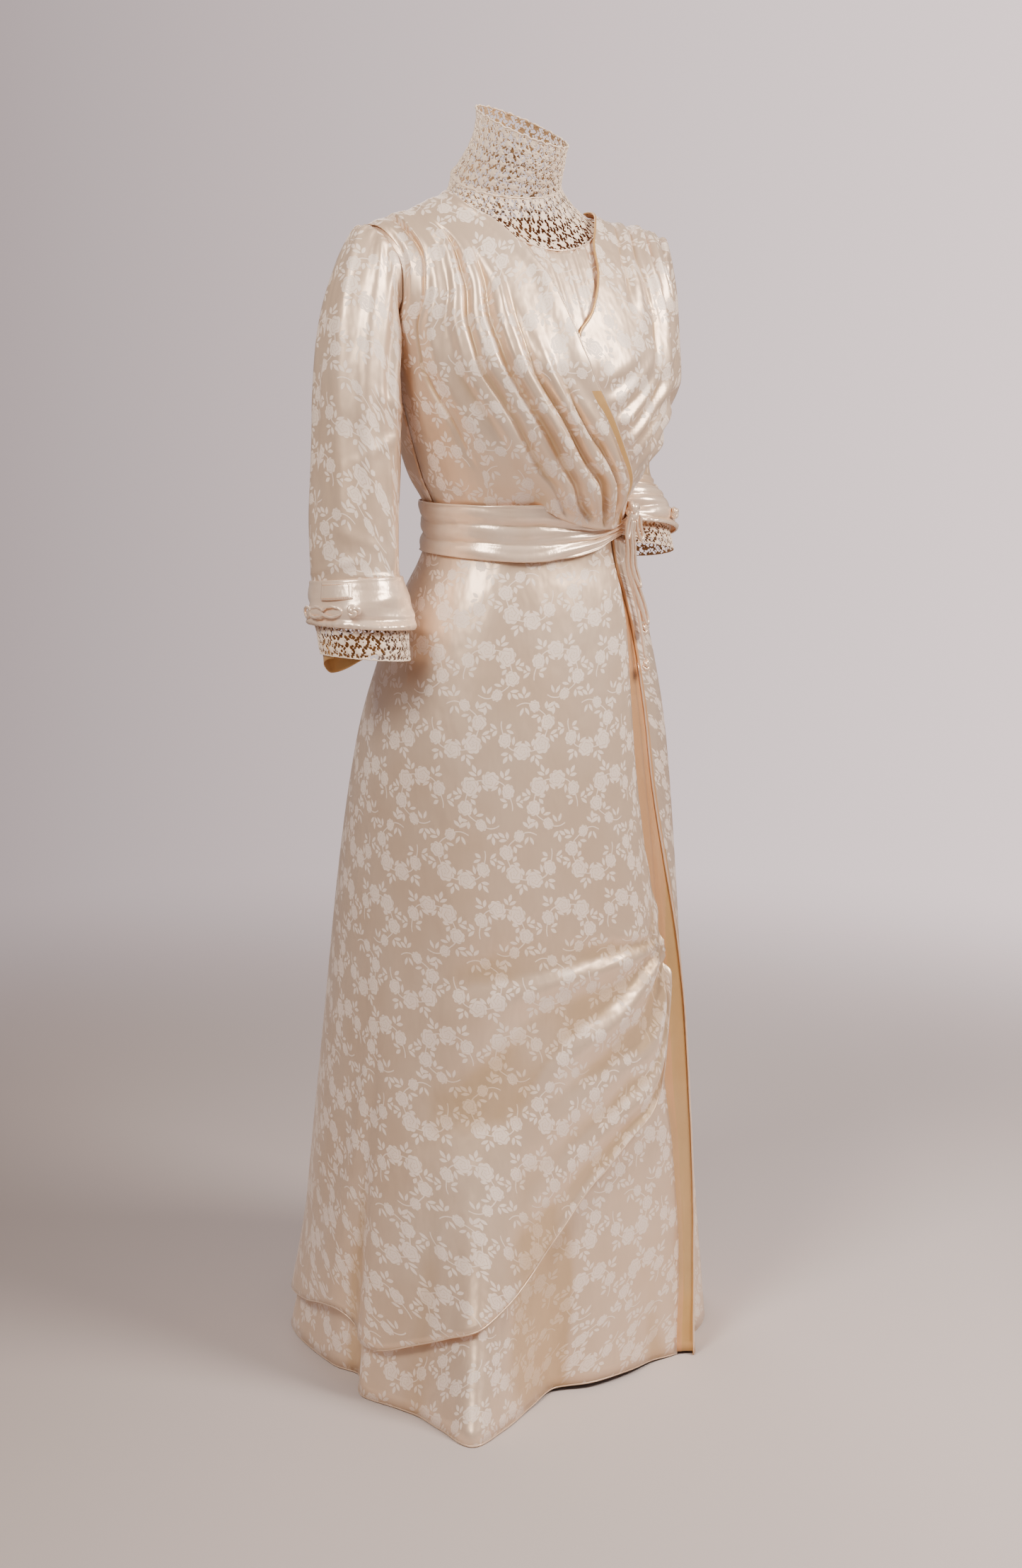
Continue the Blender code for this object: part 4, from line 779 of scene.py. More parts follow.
level, share = panel(130, 150)
left, right = SEAM_ANGLE - curve(ARMHOLE_EDGE, level), curve(OVER_EDGE, level)
angle = left + (right - left) * share ** curve(CROWD, level)
foot = (curve(OVER_FOOT, angle) - WAIST) / (ARMPIT - WAIST)
level = level + ease(0.42, FOOT_LEVEL, level) * (foot - FOOT_LEVEL)
pouch = ease(-26, -9, angle)
tucked = (1 - pouch) * (1 - ease(0.21, 0.52, level))
tuck = ease(TUCK_SHARE - TUCK_HALF, TUCK_SHARE + TUCK_HALF, share) * ease(0.45, 1.0, level)
standing = RIGHT_OUT + TUCK_OUT * tuck
standing = standing + WRAP_OUT * ease(0.45, 0.8, share) + pleats(OVER_PLEATS, share, level)
standing = standing + POUCH_OUT * pouch * bump((level - 0.20) / 0.45) * (1 - ease(14, 30, angle))
standing = standing - (standing - SHOULDER_OUT) * SEAM_FLAT * ease(1.90, 2, level)
plain_out = standing * (1 - tucked) + TUCKED_OUT * tucked
plain_out = SEAM_OUT + (plain_out - SEAM_OUT) * ease(0, SEAM_SHARE, share)
standing = standing + pleats(OVER_CREASES, leaning(share, level), level, ends=0.12)
gathers = RIGHT_GATHERS * np.sin(share * 60 + 2 * np.sin(share * 31)) * ease(1.70, 1.97, level)
standing = standing + gathers * ease(0.10, 0.30, share) * (1 - ease(0.9, 1.0, share))
standing = standing + EDGE_ROLL * ease(FACING_SHARE - 0.05, 0.99, share) * ease(0.05, 0.3, level)
out = standing * (1 - tucked) + TUCKED_OUT * tucked
out = SEAM_OUT + (out - SEAM_OUT) * ease(0, SEAM_SHARE, share)
marks = ((share > FACING_SHARE) & (level < FACING_TOP)).astype(int) * 2
cloth("bodice_front_right_damask", figure(angle, level, out + WALL), [damask, lining, facing, lining],
      ["bodice_front_right"],
      plain=figure(angle, level, plain_out), marks=marks[:-1, :-1], turn=RIGHT_GRAIN)
right_edge = figure(angle[:-1, -1], level[:-1, -1], out[:-1, -1] + WALL * 0.5) - (0, 0, SHOULDER_LINE)

level, share = panel(120, 104)
left, right = curve(UNDER_EDGE, level), curve(ARMHOLE_EDGE, level) - SEAM_ANGLE
angle = left + (right - left) * share
hidden = 1 - ease(0, 9, apart(angle, curve(OVER_EDGE, level)))
tucked = 1 - ease(0.20, 0.55, level)
standing = LEFT_OUT + (pleats(UNDER_PLEATS, share, level) + LEFT_SHOWN_OUT) * (1 - hidden)
plain_out = standing * (1 - tucked) + LEFT_TUCKED_OUT * tucked
fan = np.sin(2 * np.pi * (level - 1.05 * share + 0.07 * np.sin(share * 7)) / 0.185)
fan = LEFT_FAN * fan * bump((level - 0.60) / 0.48) * ease(0.0, 0.12, share) * (1 - ease(0.70, 1.0, share))
standing = standing + (pleats(UNDER_CREASES, leaning(share, level), level, ends=0.15) + fan) * (1 - hidden)
gathers = LEFT_GATHERS * np.sin(share * 80 + 2 * np.sin(share * 27)) * ease(1.65, 1.97, level)
standing = standing + gathers * ease(0.0, 0.10, share) * (1 - ease(0.85, 0.97, share))
out = standing * (1 - tucked) + LEFT_TUCKED_OUT * tucked
rim = np.minimum(out, SEAM_OUT)
out = rim + (out - rim) * ease(1, 1 - SEAM_SHARE, share)
cloth("bodice_front_left_damask", figure(angle, level, out + WALL), [damask, lining], ["bodice_front_left"],
      plain=figure(angle, level, plain_out),
      turn=LEFT_GRAIN)
shown = slice(0, 82)       # rows above the place where the left front's edge goes under the right one
left_edge = figure(angle[shown, 0], level[shown, 0], out[shown, 0] + WALL * 0.5) - (0, 0, SHOULDER_LINE)

level, share = panel(90, 100)
top = curve(BACK_NECK, BACK_HALF_ANGLE * np.abs(2 * share - 1))
level = np.where(level > 1, 1 + (level - 1) * (top - 1) / (TOP_LEVEL - 1), level)
edge = 180 - curve(ARMHOLE_EDGE, level) + SEAM_ANGLE
angle = edge + (360 - 2 * edge) * share
from_seam = np.minimum(share, 1 - share)
plain_out = SEAM_OUT + BACK_POUCH * ease(0.17, 0.40, level) * ease(0, SEAM_SHARE, from_seam)
middle = np.abs(share - 0.5)
tucks = BACK_TUCKS[0] * bump((middle - 0.10 - 0.05 * level) / 0.025)
tucks = tucks + BACK_TUCKS[1] * bump((middle - 0.17 - 0.07 * level) / 0.025)
out = plain_out + tucks * ease(0.12, 0.35, level) * (1 - ease(1.1, 1.6, level))
gathers = BACK_GATHERS * np.sin(share * 110 + 2 * np.sin(share * 29))
out = out + gathers * (1 - ease(0.2, 0.6, level)) * ease(0.08, 0.2, level)
out = out - BACK_SEAM * bump(middle / 0.006)
cloth("bodice_back_damask", figure(angle, level, out + WALL), [damask, lining], ["bodice_back"],
      plain=figure(angle, level, plain_out))

# The inset: a flat panel of the damask that fills the V between the fronts. Narrow piping covers the seam
# where it and the fronts meet the lace yoke, and runs down both fronts' free edges.
INSET_FOOT = 0.62
INSET_ANGLE = 52
INSET_OUT = 0.0026
INSET_NARROWS = 0.35       # how much narrower in angle it is at its foot
PIPING, PIPING_OUT = 0.0011, 0.0044
NECK_MIDDLE = 0.008        # of the yoke's foot, which is measured from here: to the side, front and back
NECK_ASIDE, NECK_FRONT, NECK_REAR = 0.094, 0.089, 0.0605


def on_shoulders(x, y):
    """The point of the figure's chest, shoulders or upper back above a place in plan."""
    height = np.full(np.shape(x), 1.35)
    for _ in range(14):
        half, front, rear, centre = (along(TORSO_COLUMNS, TORSO, name, height) for name in TORSO_COLUMNS[1:])
        away = y - centre
        depth = np.where(away < 0, front, rear)
        roundness = np.where(away < 0, SHOULDER_POWER, BACK_POWER)
        ring = (1 - np.clip(np.abs(x) / half, 0, 0.98) ** RING_POWER) ** (1 / RING_POWER)
        close = np.clip(np.abs(away) / (depth * ring), 0, 1)
        found = ARMPIT + (1 - close ** roundness) ** (1 / roundness) * (curve(SHOULDER_SEAM, x) - ARMPIT)
        height = (height + found) / 2
    return np.stack([x, y, height], -1)


def neckline(angle, beyond=0.0):
    """The lower edge of the lace yoke, by its angle round the neck from the front; beyond moves it out."""
    sine, cosine = np.sin(np.radians(angle)), np.cos(np.radians(angle))
    reach = np.where(cosine > 0, NECK_FRONT, NECK_REAR) + beyond
    narrower = 1 - 0.08 * np.maximum(-cosine, 0)
    return on_shoulders((NECK_ASIDE + beyond) * sine * narrower, NECK_MIDDLE - reach * cosine)


def level_of(height, x):
    """The torso level of a height on the front of the figure, x to the side."""
    rise = np.clip((height - ARMPIT) / (curve(SHOULDER_SEAM, x) - ARMPIT), 0, 1)
    turn = np.arcsin(rise ** (SHOULDER_POWER / 2))
    return np.where(height < ARMPIT, (height - WAIST) / (ARMPIT - WAIST), 1 + turn / (np.pi / 2))


t, turn = grid(np.linspace(0, 1, 40), np.linspace(-INSET_ANGLE, INSET_ANGLE, 60))
edge = neckline(turn[0])
top = level_of(edge[:, 2] + 0.001, edge[:, 0])
half = along(TORSO_COLUMNS, TORSO, "half_width", edge[:, 2])
angle = np.degrees(np.arcsin(power(edge[:, 0] / half, RING_POWER / 2)))
level = top + (INSET_FOOT - top) * t
ripple = 0.0007 * np.sin(turn * 0.9 + 2 * t) * bump((t - 0.05) / 0.5) + 0.0006 * np.sin(turn * 0.35 + 5 * t)
cloth("inset_front_damask", figure(angle * (1 - INSET_NARROWS * t), level, INSET_OUT + WALL + ripple),
      [damask, lining], ["inset_front"])

turn = np.linspace(0, 360, 220, endpoint=False)
line = neckline(turn) - (0, 0, SHOULDER_LINE)
lift = unit(line - (0, NECK_MIDDLE, -0.16))
rouleau("neckline_piping", line + lift * PIPING_OUT, PIPING, satin, lift, closed=True, sides=8)
for name, line, radius, finish in (("front_right_edge", right_edge, PIPING, satin),
                                   ("front_left_edge", left_edge, PIPING * 1.3, facing)):
    rouleau(name, line, radius, finish, unit(line - (0, 0, -0.2)) + (0.01, 0, 0), sides=8)

# Belt: a bias length of the satin drawn round the waist in long soft folds that run together at the knot.
BELT_TOP = ((-180, 1.030), (-20, 1.030), (-10, 1.024), (0, 1.014), (12, 1.005), (24, 1.003), (33, 1.008),
            (50, 1.018), (80, 1.026), (120, 1.030), (180, 1.030))
BELT_FOOT = ((-180, 0.973), (-90, 0.972), (-18, 0.966), (10, 0.976), (29, 0.989), (37, 0.991), (60, 0.978),
             (180, 0.973))
BELT_OUT = 0.0074
BELT_FOLD, BELT_FINE_FOLD, BELT_RIPPLE = 0.0036, 0.0016, 0.0006   # how far each kind of fold stands out

t, angle = grid(np.linspace(0, 1, 40), np.linspace(-180, 180, 217))
belt_top, belt_foot = curve(BELT_TOP, angle), curve(BELT_FOOT, angle)
height = belt_top + (belt_foot - belt_top) * t
to_knot = bump(apart(angle, KNOT_ANGLE) / 95)
drift = t + 0.05 * np.sin(np.radians(angle * 2 + 40)) + 0.035 * np.sin(np.radians(angle * 5))
fine = 4.2 * drift + 0.4 * np.sin(np.radians(angle * 3))
ripple = np.sin(np.radians(angle * 23) + t * 9) * bump(apart(angle, KNOT_ANGLE) / 40)
folds = BELT_FOLD * np.abs(np.sin(np.pi * 3.0 * drift)) ** 0.65
folds = folds + BELT_FINE_FOLD * np.abs(np.sin(np.pi * fine)) * (0.4 + to_knot)
folds = folds + BELT_RIPPLE * ripple
base = ring_point(TORSO, angle, height)
outward = unit(np.stack([np.sin(np.radians(angle)), -np.cos(np.radians(angle)), 0 * angle], -1) + 0 * base)
cloth("belt_satin", base + outward * (BELT_OUT + WALL + folds)[..., None], [satin, lining], ["belt"],
      around=True)

# Overskirt: one length of damask from the opening's near edge round the back to the left side, smooth over
# the hip, and caught up at knee height in a fan of folds from which its hem falls away to the right.
OVER_OPENING = ((0.40, 30.5), (0.49, 27.5), (0.545, 25), (0.64, 20), (0.745, 18), (0.80, 18.8), (0.868, 21.5),
                (0.985, 27))
OVER_HEM = ((-250, 0.062), (-135, 0.050), (-117, 0.048), (-100, 0.060), (-86, 0.078), (-76, 0.064),
            (-64, 0.062), (-50, 0.080), (-38, 0.104), (-30, 0.120), (-23, 0.138), (-12, 0.184), (-4, 0.226),
            (9, 0.284), (17, 0.312), (26, 0.380), (31, 0.455))
FAN_OUT, RAY_OUT, LONG_OUT, DRAG_OUT = 0.006, 0.0056, 0.0016, 0.0022   # how far each kind of fold stands out
OVER_OUT, OVER_EASED, OVER_LOW = 0.0026, 0.0048, 0.004   # of its plain face: at the top, lower, at the hem
OVER_SUNK = 0.0012         # how far at most a fold sinks below it
HEM_FOLD = 0.0011
OVER_END = -250
OVER_START = 31.0
SKIRT_TOP = 0.986
GATHER_HEIGHT = 0.520      # middle of the cluster where the overskirt is caught up
GATHER_FOLDS = 12          # folds in a full turn round it; less than half of the turn shows


def spaced(start, end, count, centre, spread, crowd):
    """count angles from start to end, closer together round the centre."""
    fine = np.linspace(start, end, 800)
    crowded = np.cumsum(1 + crowd * bump((fine - centre) / spread))
    return np.interp(np.linspace(crowded[0], crowded[-1], count), crowded, fine)


t, angle = grid(np.linspace(0, 1, 120) ** 1.15, spaced(OVER_END, OVER_START, 204, -10, 75, 2.0))
caught = ease(-48, OVER_START, angle)
fall = t * (1 - caught) + (1 - (1 - t) ** 1.55) * caught
height = SKIRT_TOP + (curve(OVER_HEM, angle) - SKIRT_TOP) * fall
angle = angle + caught * (curve(OVER_OPENING, height) - OVER_START)
base_out = OVER_OUT + OVER_EASED * ease(0.985, 0.93, height) + OVER_LOW * ease(0.45, 0.10, height)
fan = FAN_OUT * caught * ease(0.45, 0.85, t) * (0.5 + 0.5 * np.cos(2 * np.pi * (t * 9.0)))
aside = np.radians(OVER_START - angle) * 0.20
below = GATHER_HEIGHT - height
from_gather = np.sqrt(aside ** 2 + below ** 2)
direction = np.arctan2(below, aside)
rays = np.cos(direction * GATHER_FOLDS + 2.2 * np.sin(from_gather * 9) + 0.8)
rays = rays + 0.30 * np.cos(direction * GATHER_FOLDS * 1.9 + 1.3)
strength = RAY_OUT * bump((from_gather - 0.09) / 0.30) * ease(0.0, 0.05, from_gather)
strength = strength * ease(-0.30, 0.25, direction)
long_folds = LONG_OUT * np.sin(np.radians(angle * 7 + 25 * np.sin(height * 6))) * ease(0.93, 0.5, height)
drag = DRAG_OUT * bump((from_gather - 0.30) / 0.22) * np.cos(direction * 9 + from_gather * 14)
drag = drag * ease(0.1, 0.6, direction)
relief = base_out + fan + strength * rays + long_folds * (1 - 0.6 * caught) + drag
cloth("overskirt_damask", skirt(angle, height, np.maximum(relief, base_out - OVER_SUNK) + WALL),
      [damask, lining], ["overskirt"],
      plain=skirt(angle, height, base_out), from_column=0.80)
hem_line = skirt(angle[-1], height[-1], relief[-1] + WALL * 0.5) - (0, 0, SHOULDER_LINE)
rouleau("overskirt_hem_fold", hem_line, HEM_FOLD, damask, unit(hem_line + (0, 0, 5.0)), sides=8)

# Underskirt: the full-length skirt below it, round the whole figure, open down the left front. Low down its
# far edge is turned outwards and shows the golden facing.
UNDER_OPENING = ((0.0, 22), (0.04, 24), (0.09, 28), (0.17, 31.8), (0.26, 32), (0.34, 29.5), (0.5, 30),
                 (0.6, 29), (0.745, 26.5), (0.985, 28))
UNDER_END = ((0.0, -336), (0.04, -334), (0.09, -329.5), (0.17, -323.8), (0.3, -321.5), (0.5, -322.5),
             (0.6, -325), (0.745, -329), (0.985, -329))
UNDER_SPAN = (-331, 25)    # angles between which its columns are spaced
UNDER_FOLD, UNDER_PIPING, UNDER_SOFT = 0.0010, 0.0013, 0.0011   # its hem's fold, its edge and its soft folds
FRONT_LIFT = 0.006         # how far the front of the hem is lifted off the floor
FACING_DEGREES = 3.6       # width of the golden facing on the turned edge
EDGE_TURN = 0.016          # how far the far edge is turned outwards
LINING_ABOVE, FACING_BELOW = 0.50, 0.62   # heights above and below which the edges show them

share = (spaced(*UNDER_SPAN, 240, -36, 45, 1.8) - UNDER_SPAN[0]) / (UNDER_SPAN[1] - UNDER_SPAN[0])
t, share = grid(np.linspace(0, 1, 80) ** 1.2, share)
height = SKIRT_TOP + (0.0005 - SKIRT_TOP) * t
left, right = curve(UNDER_END, height), curve(UNDER_OPENING, height)
angle = left + (right - left) * share
height = height + FRONT_LIFT * bump(apart(angle, -2) / 26) * t ** 4
turned = EDGE_TURN * ease(8, 0, angle - left) * ease(0.72, 0.40, height)
soft = UNDER_SOFT * np.sin(np.radians(angle * 9 + 40 * np.sin(height * 5))) * ease(0.30, 0.0, height)
marks = ((angle - left < FACING_DEGREES) & (height < FACING_BELOW)).astype(int) * 2
beside = (angle > curve(OVER_OPENING, height) - 1.5) | (angle - left < 1.5)
marks = np.where(beside & (height > LINING_ABOVE), 1, marks)
cloth("underskirt_damask", skirt(angle, height, turned + WALL + soft), [damask, lining, facing, facing],
      ["underskirt"], plain=skirt(angle, height, 0.0),
      marks=marks[:-1, :-1], from_column=0.85)
shown = slice(16, None)    # rows below the belt
edge_line = skirt(angle[shown, 0], height[shown, 0], turned[shown, 0] + WALL * 0.5) - (0, 0, SHOULDER_LINE)
rouleau("underskirt_front_edge", edge_line, UNDER_PIPING, satin, (0.5, -0.85, 0.1), sides=8)
hem_line = skirt(angle[-1], height[-1] + 0.0008, turned[-1] + WALL * 0.5 + soft[-1]) - (0, 0, SHOULDER_LINE)
rouleau("underskirt_hem_fold", hem_line, UNDER_FOLD, damask, (0.0, 0.02, 1.0), sides=8)

# Facing of the opening: a silk band that fills the slit from the near edge to the turned-out far edge, peach
# with a golden border, with a soft crease down it. Behind it hangs the lining, a strip of peach silk.
FACING_TOP_HEIGHT, FACING_FOOT_HEIGHT = 0.955, 0.004
FACING_PEACH = ((0.0, 0.42), (0.50, 0.42), (0.58, 0.80), (1.0, 0.86))   # share of the band that is peach
FACING_RISE = 0.0168       # how far the band comes out to meet the turned edge
FACING_UNDER, FACING_OVER = 1.2, 0.6   # degrees that it goes under the near edge and past the far one
LINING_TOP, LINING_FOOT, LINING_ANGLES = 0.980, 0.012, (15, 50)
FACING_WALL, LINING_WALL = 0.0006, 0.0012
FACING_IN, LINING_IN = 0.0004, 0.0021   # how far inside the skirt's plain form they hang
FACING_CREASE = 0.0016

t, share = grid(np.linspace(0, 1, 80), np.linspace(0, 1, 16))
height = FACING_TOP_HEIGHT + (FACING_FOOT_HEIGHT - FACING_TOP_HEIGHT) * t
near, far = curve(UNDER_OPENING, height), curve(UNDER_END, height) + 360
angle = near - FACING_UNDER + (far + FACING_OVER - near + FACING_UNDER) * share
out = FACING_RISE * ease(0.72, 0.40, height) * (0.15 * share + 0.85 * share ** 2.2) - FACING_IN
out = out + FACING_CREASE * bump((share - 0.42) / 0.20) * ease(0.0, 0.2, t)
stripe = (share < curve(FACING_PEACH, height)).astype(int)
cloth("opening_facing_silk", skirt(angle, height, out), [facing, lining, lining], [],
      thickness=FACING_WALL, marks=stripe[:-1, :-1])

t, angle = grid(np.linspace(0, 1, 70) ** 1.3, np.linspace(*LINING_ANGLES, 26))
height = LINING_TOP + (LINING_FOOT - LINING_TOP) * t
out = 0.0007 * np.sin(angle * 0.8 + height * 9) * bump((angle - 32) / 9) - LINING_IN
cloth("opening_lining_silk", skirt(angle, height, out), [lining, lining], ["opening_lining"],
      thickness=LINING_WALL)

# Sleeves: set in at the armhole with a little ease over the cap, the right one straight, the left one bent
# at the elbow, both with soft long folds and creases where the arm turns. A ring of an arm has its height,
# x, y, half sizes, slope to the front and lean outwards.
ARMS = {
    "right": (
        (1.150, 0.2170, -0.004, 0.0465, 0.054, 0.00, 0.00),
        (1.110, 0.2190, -0.005, 0.0465, 0.054, -0.02, 0.00),
        (1.064, 0.2220, -0.007, 0.0475, 0.055, -0.04, 0.00),
        (1.020, 0.2260, -0.009, 0.0480, 0.055, -0.06, 0.00),
        (0.980, 0.2280, -0.012, 0.0480, 0.054, -0.08, 0.00),
        (0.940, 0.2290, -0.018, 0.0475, 0.053, -0.10, 0.00),
    ),
    "left": (
        (1.160, 0.2120, 0.051, 0.0410, 0.048, -0.05, 0.00),
        (1.122, 0.2060, 0.070, 0.0430, 0.049, -0.06, 0.00),
        (1.086, 0.2030, 0.088, 0.0435, 0.050, -0.08, 0.02),
        (1.058, 0.2000, 0.103, 0.0440, 0.050, -0.12, 0.05),
        (1.036, 0.1960, 0.092, 0.0455, 0.051, -0.16, 0.10),
        (1.019, 0.1920, 0.077, 0.0475, 0.053, -0.20, 0.15),
    ),
}
SIDES = {"right": -1, "left": 1}
FOREARM = {"right": (0.0, -0.22, -0.975), "left": (-0.02, -0.50, -0.866)}
SLEEVE_ROWS, SLEEVE_COLUMNS = 90, 121
SLEEVE_HEAD = 0.008        # how far the cap stands out beside the seam
SLEEVE_OUT = 0.003
SLEEVE_GAP = 0.0055
CAP_OUT, CAP_GATHERS = 0.0012, 16   # depth and number of the little gathers at the cap
ARMHOLE_TURNING = (-0.007, -0.003, 0.001, 0.005, 0.009)   # rows of the turnings, across the seam
ARMHOLE_UNDER = 0.0014
TURNING_THICKNESS = 0.0006
CAP_ROWS = (0.0, 0.14, 0.33, 0.55, 0.78)
# Folds of each sleeve: angle round the arm at the top, how far it drifts by the cuff, half width in degrees,
# how far out, and the shares of the length between which it shows
SLEEVE_FOLDS = {
    "right": (
        (60, 25, 16, 0.0034, 0.02, 0.75), (95, 20, 14, -0.0026, 0.10, 0.90),
        (128, -25, 16, 0.0036, 0.15, 1.0), (20, 30, 20, 0.0028, 0.05, 0.85),
        (-30, 20, 22, 0.0026, 0.25, 1.0), (160, -20, 14, -0.0030, 0.30, 0.95),
        (-70, 10, 18, 0.0030, 0.10, 0.80), (-120, -10, 20, -0.0026, 0.20, 0.90),
        (78, 40, 9, 0.0018, 0.40, 0.97),
    ),
    "left": (
        (50, 20, 16, 0.0026, 0.02, 0.45), (95, -15, 14, 0.0026, 0.05, 0.50),
        (150, 10, 14, -0.0026, 0.10, 0.55), (0, 20, 18, 0.0024, 0.05, 0.55),
        (-60, 10, 20, 0.0026, 0.10, 0.55), (-115, 0, 20, 0.0022, 0.10, 0.60),
    ),
}
# Creases across the arm: share of the length, angle, half length in degrees, half width in share, out, slant
SLEEVE_CREASES = {
    "right": (
        (0.52, 120, 60, 0.022, 0.0022, 0.05), (0.60, 100, 70, 0.020, 0.0018, -0.06),
        (0.80, 60, 60, 0.020, 0.0016, 0.05), (0.88, 20, 80, 0.018, 0.0018, -0.04),
        (0.93, 110, 80, 0.016, 0.0022, 0.03),
    ),
    "left": (
        (0.52, 100, 80, 0.022, 0.0030, 0.03), (0.60, 95, 80, 0.020, -0.0026, -0.04),
        (0.66, 90, 80, 0.022, 0.0034, 0.03), (0.74, 95, 75, 0.020, -0.0024, 0.04),
        (0.82, 80, 85, 0.022, 0.0030, -0.03), (0.92, 40, 120, 0.020, 0.0028, 0.03),
    ),
}


def arm_ring(side, angle, x, y, height, half_x, half_y, slope, lean):
    """A ring round the arm: angle 0 outward, 90 to the front."""
    across, fore = half_x * np.cos(np.radians(angle)), half_y * np.sin(np.radians(angle))
    return np.stack([side * (x + across), y - fore, height - slope * fore - lean * across], -1)


def cuff_ring(side_name, angle, down, half_x, half_y):
    """A ring of the cuff, a distance down the forearm from the sleeve's last ring."""
    height, x, y, _, _, slope, lean = ARMS[side_name][-1]
    to_x, to_y, to_z = FOREARM[side_name]
    side = SIDES[side_name]
    return arm_ring(side, angle, x + side * to_x * down, y + to_y * down, height + to_z * down,
                    half_x, half_y, slope, lean)


def armhole(side, angle, gap=SLEEVE_GAP, under=0.0):
    """The sleeve's edge in the armhole: angle 0 at the shoulder tip, 90 at the front, 180 under the arm; gap
    is how far towards the arm it lies from the bodice's edge, and under how far below the sleeve's face."""
    level = 1.04 + 0.935 * (0.5 + 0.5 * np.cos(np.radians(angle)))
    to_front = np.sign(np.round(np.sin(np.radians(angle)), 6))
    turn = side * (90 - (90 - curve(ARMHOLE_EDGE, level)) * to_front)
    base, out = torso(turn, level), figure(turn, level, np.full(level.shape, SLEEVE_OUT))
    normal = (out - base) / SLEEVE_OUT
    inward = np.array([side * 0.200, 0.005, 1.25]) - base
    inward -= normal * (inward * normal).sum(-1, keepdims=True)
    return out - normal * under + unit(inward) * gap


for side_name, side in SIDES.items():
    angle = np.linspace(0, 360, SLEEVE_COLUMNS) * -side
    turning = np.stack([armhole(side, angle % 360, gap, ARMHOLE_UNDER) for gap in ARMHOLE_TURNING])
    cloth(f"armhole_turning_{side_name}", turning, [damask, damask], [],
          around=True, thickness=TURNING_THICKNESS)

    rings = [arm_ring(side, angle, x, y, height, half_x, half_y, slope, lean)
             for height, x, y, half_x, half_y, slope, lean in ARMS[side_name][:-1]]
    rings += [cuff_ring(side_name, angle, down, *ARMS[side_name][-1][3:5]) for down in (-0.012, 0)]
    seam, first = armhole(side, angle % 360), rings[0]
    upper = (0.5 + 0.5 * np.cos(np.radians(angle)))[:, None]
    head = seam + side * SLEEVE_HEAD * (0.65 + 0.35 * upper) * (1, 0, 0)
    mix = np.hstack([0.5 + 0.4 * upper, 0.5 + 0.3 * upper, 0.5 - 0.25 * upper])
    bend = first * mix + head * (1 - mix)
    cap = [head * (1 - t) ** 2 + bend * 2 * t * (1 - t) + first * t * t for t in CAP_ROWS]
    rows = [seam] + cap + rings
    plain = through(rows, np.linspace(0, len(rows) - 1, SLEEVE_ROWS))
    t, turn = grid(np.linspace(0, 1, SLEEVE_ROWS), angle)
    gathers = np.cos(np.radians(turn * CAP_GATHERS + 30 * np.sin(np.radians(turn * 3))))
    relief = CAP_OUT * gathers * ease(0.30, 0.06, t) * (0.5 + 0.5 * np.cos(np.radians(turn))) ** 0.6
    for at, slip, spread, out, low, high in SLEEVE_FOLDS[side_name]:
        shown = ease(low, low + 0.15, t) * (1 - ease(high - 0.15, high, t))
        relief = relief + out * shown * bump(apart(turn, (at + slip * t + 5 * np.sin(t * 9))) / spread)
    for at, middle, length, width, out, slant in SLEEVE_CREASES[side_name]:
        off = apart(turn, middle)
        relief = relief + out * bump((t - at - slant * off / length) / width) * bump(off / length)
    relief = relief * ease(0.0, 0.10, t) * (1 - 0.75 * ease(0.955, 1.0, t))
    cloth(f"sleeve_{side_name}_damask", outer_face(plain, WALL + relief), [damask, lining],
          [f"sleeve_{side_name}"], around=True, plain=plain)

# Cuffs: turned-back bands of the satin, rolled at the lower edge, each with a stitched tab, and a frog of
# corded loops fastened with a knot. A row of a cuff has its distance down the forearm and its half sizes.
SATIN_CUFF = ((-0.009, 0.0498, 0.0553), (0.012, 0.0545, 0.0590), (0.034, 0.0570, 0.0610),
              (0.048, 0.0560, 0.0600))
FROG_MIDDLE = 0.0255       # distance down the forearm of the frog's middle line
FROG_ANGLES = (-27, 40)
FROG_HALF = 0.0058
FROG_CORD = 0.0019
FROG_LOOPS = 3
TAB_ANGLES = (14, 54)
FROG_OUT = 0.0026          # of the frog and the stitches, out of the cuff
TAB_DOWN = (-0.0065, 0.0125)
TAB_OUT, TAB_THICKNESS, TAB_PUFF = 0.0017, 0.0008, 0.0006
STITCH_INSET, STITCH_MARGIN = 0.0020, 2   # from the tab's long edges, and from its ends in degrees
CUFF_KNOT_ANGLE = 54
CUFF_KNOT_SIZE = (0.018, 0.012, 0.016)
CUFF_KNOT_PETALS, CUFF_KNOT_RADIUS = 3, 0.0028
CUFF_ROLL, CUFF_GROOVE, CUFF_RIM = 0.0022, 0.0010, 0.0006   # rolled lower edge, groove over it, upper edge
TAB_DENT, FROG_WAVE = 0.0004, 0.0006   # of the stitched line round the tab, and of the frog's cord
PULL_OUT, FINE_OUT, SOFT_OUT = 0.0016, 0.0008, 0.0012   # how far each kind of fold stands out
KNOT_OUT = {"right": 0.0084, "left": 0.0094}
RUCHING = {"right": 0.0004, "left": 0.0036}      # depth of the folds that run round each cuff
CUFF_SLANT = {"right": 0.0065, "left": 0.0}      # how much lower the inner front of a cuff hangs
CUFF_SLANT_TURN = -50
STITCH_LENGTH, STITCH_WIDTH = 0.0020, 0.0009


def cuff_sizes(table, down, out=0.0):
    """The half sizes of a cuff at a distance down the forearm, moved out."""
    rows = np.array(table).T
    return [np.interp(down, rows[0], rows[k]) + out for k in (1, 2)]


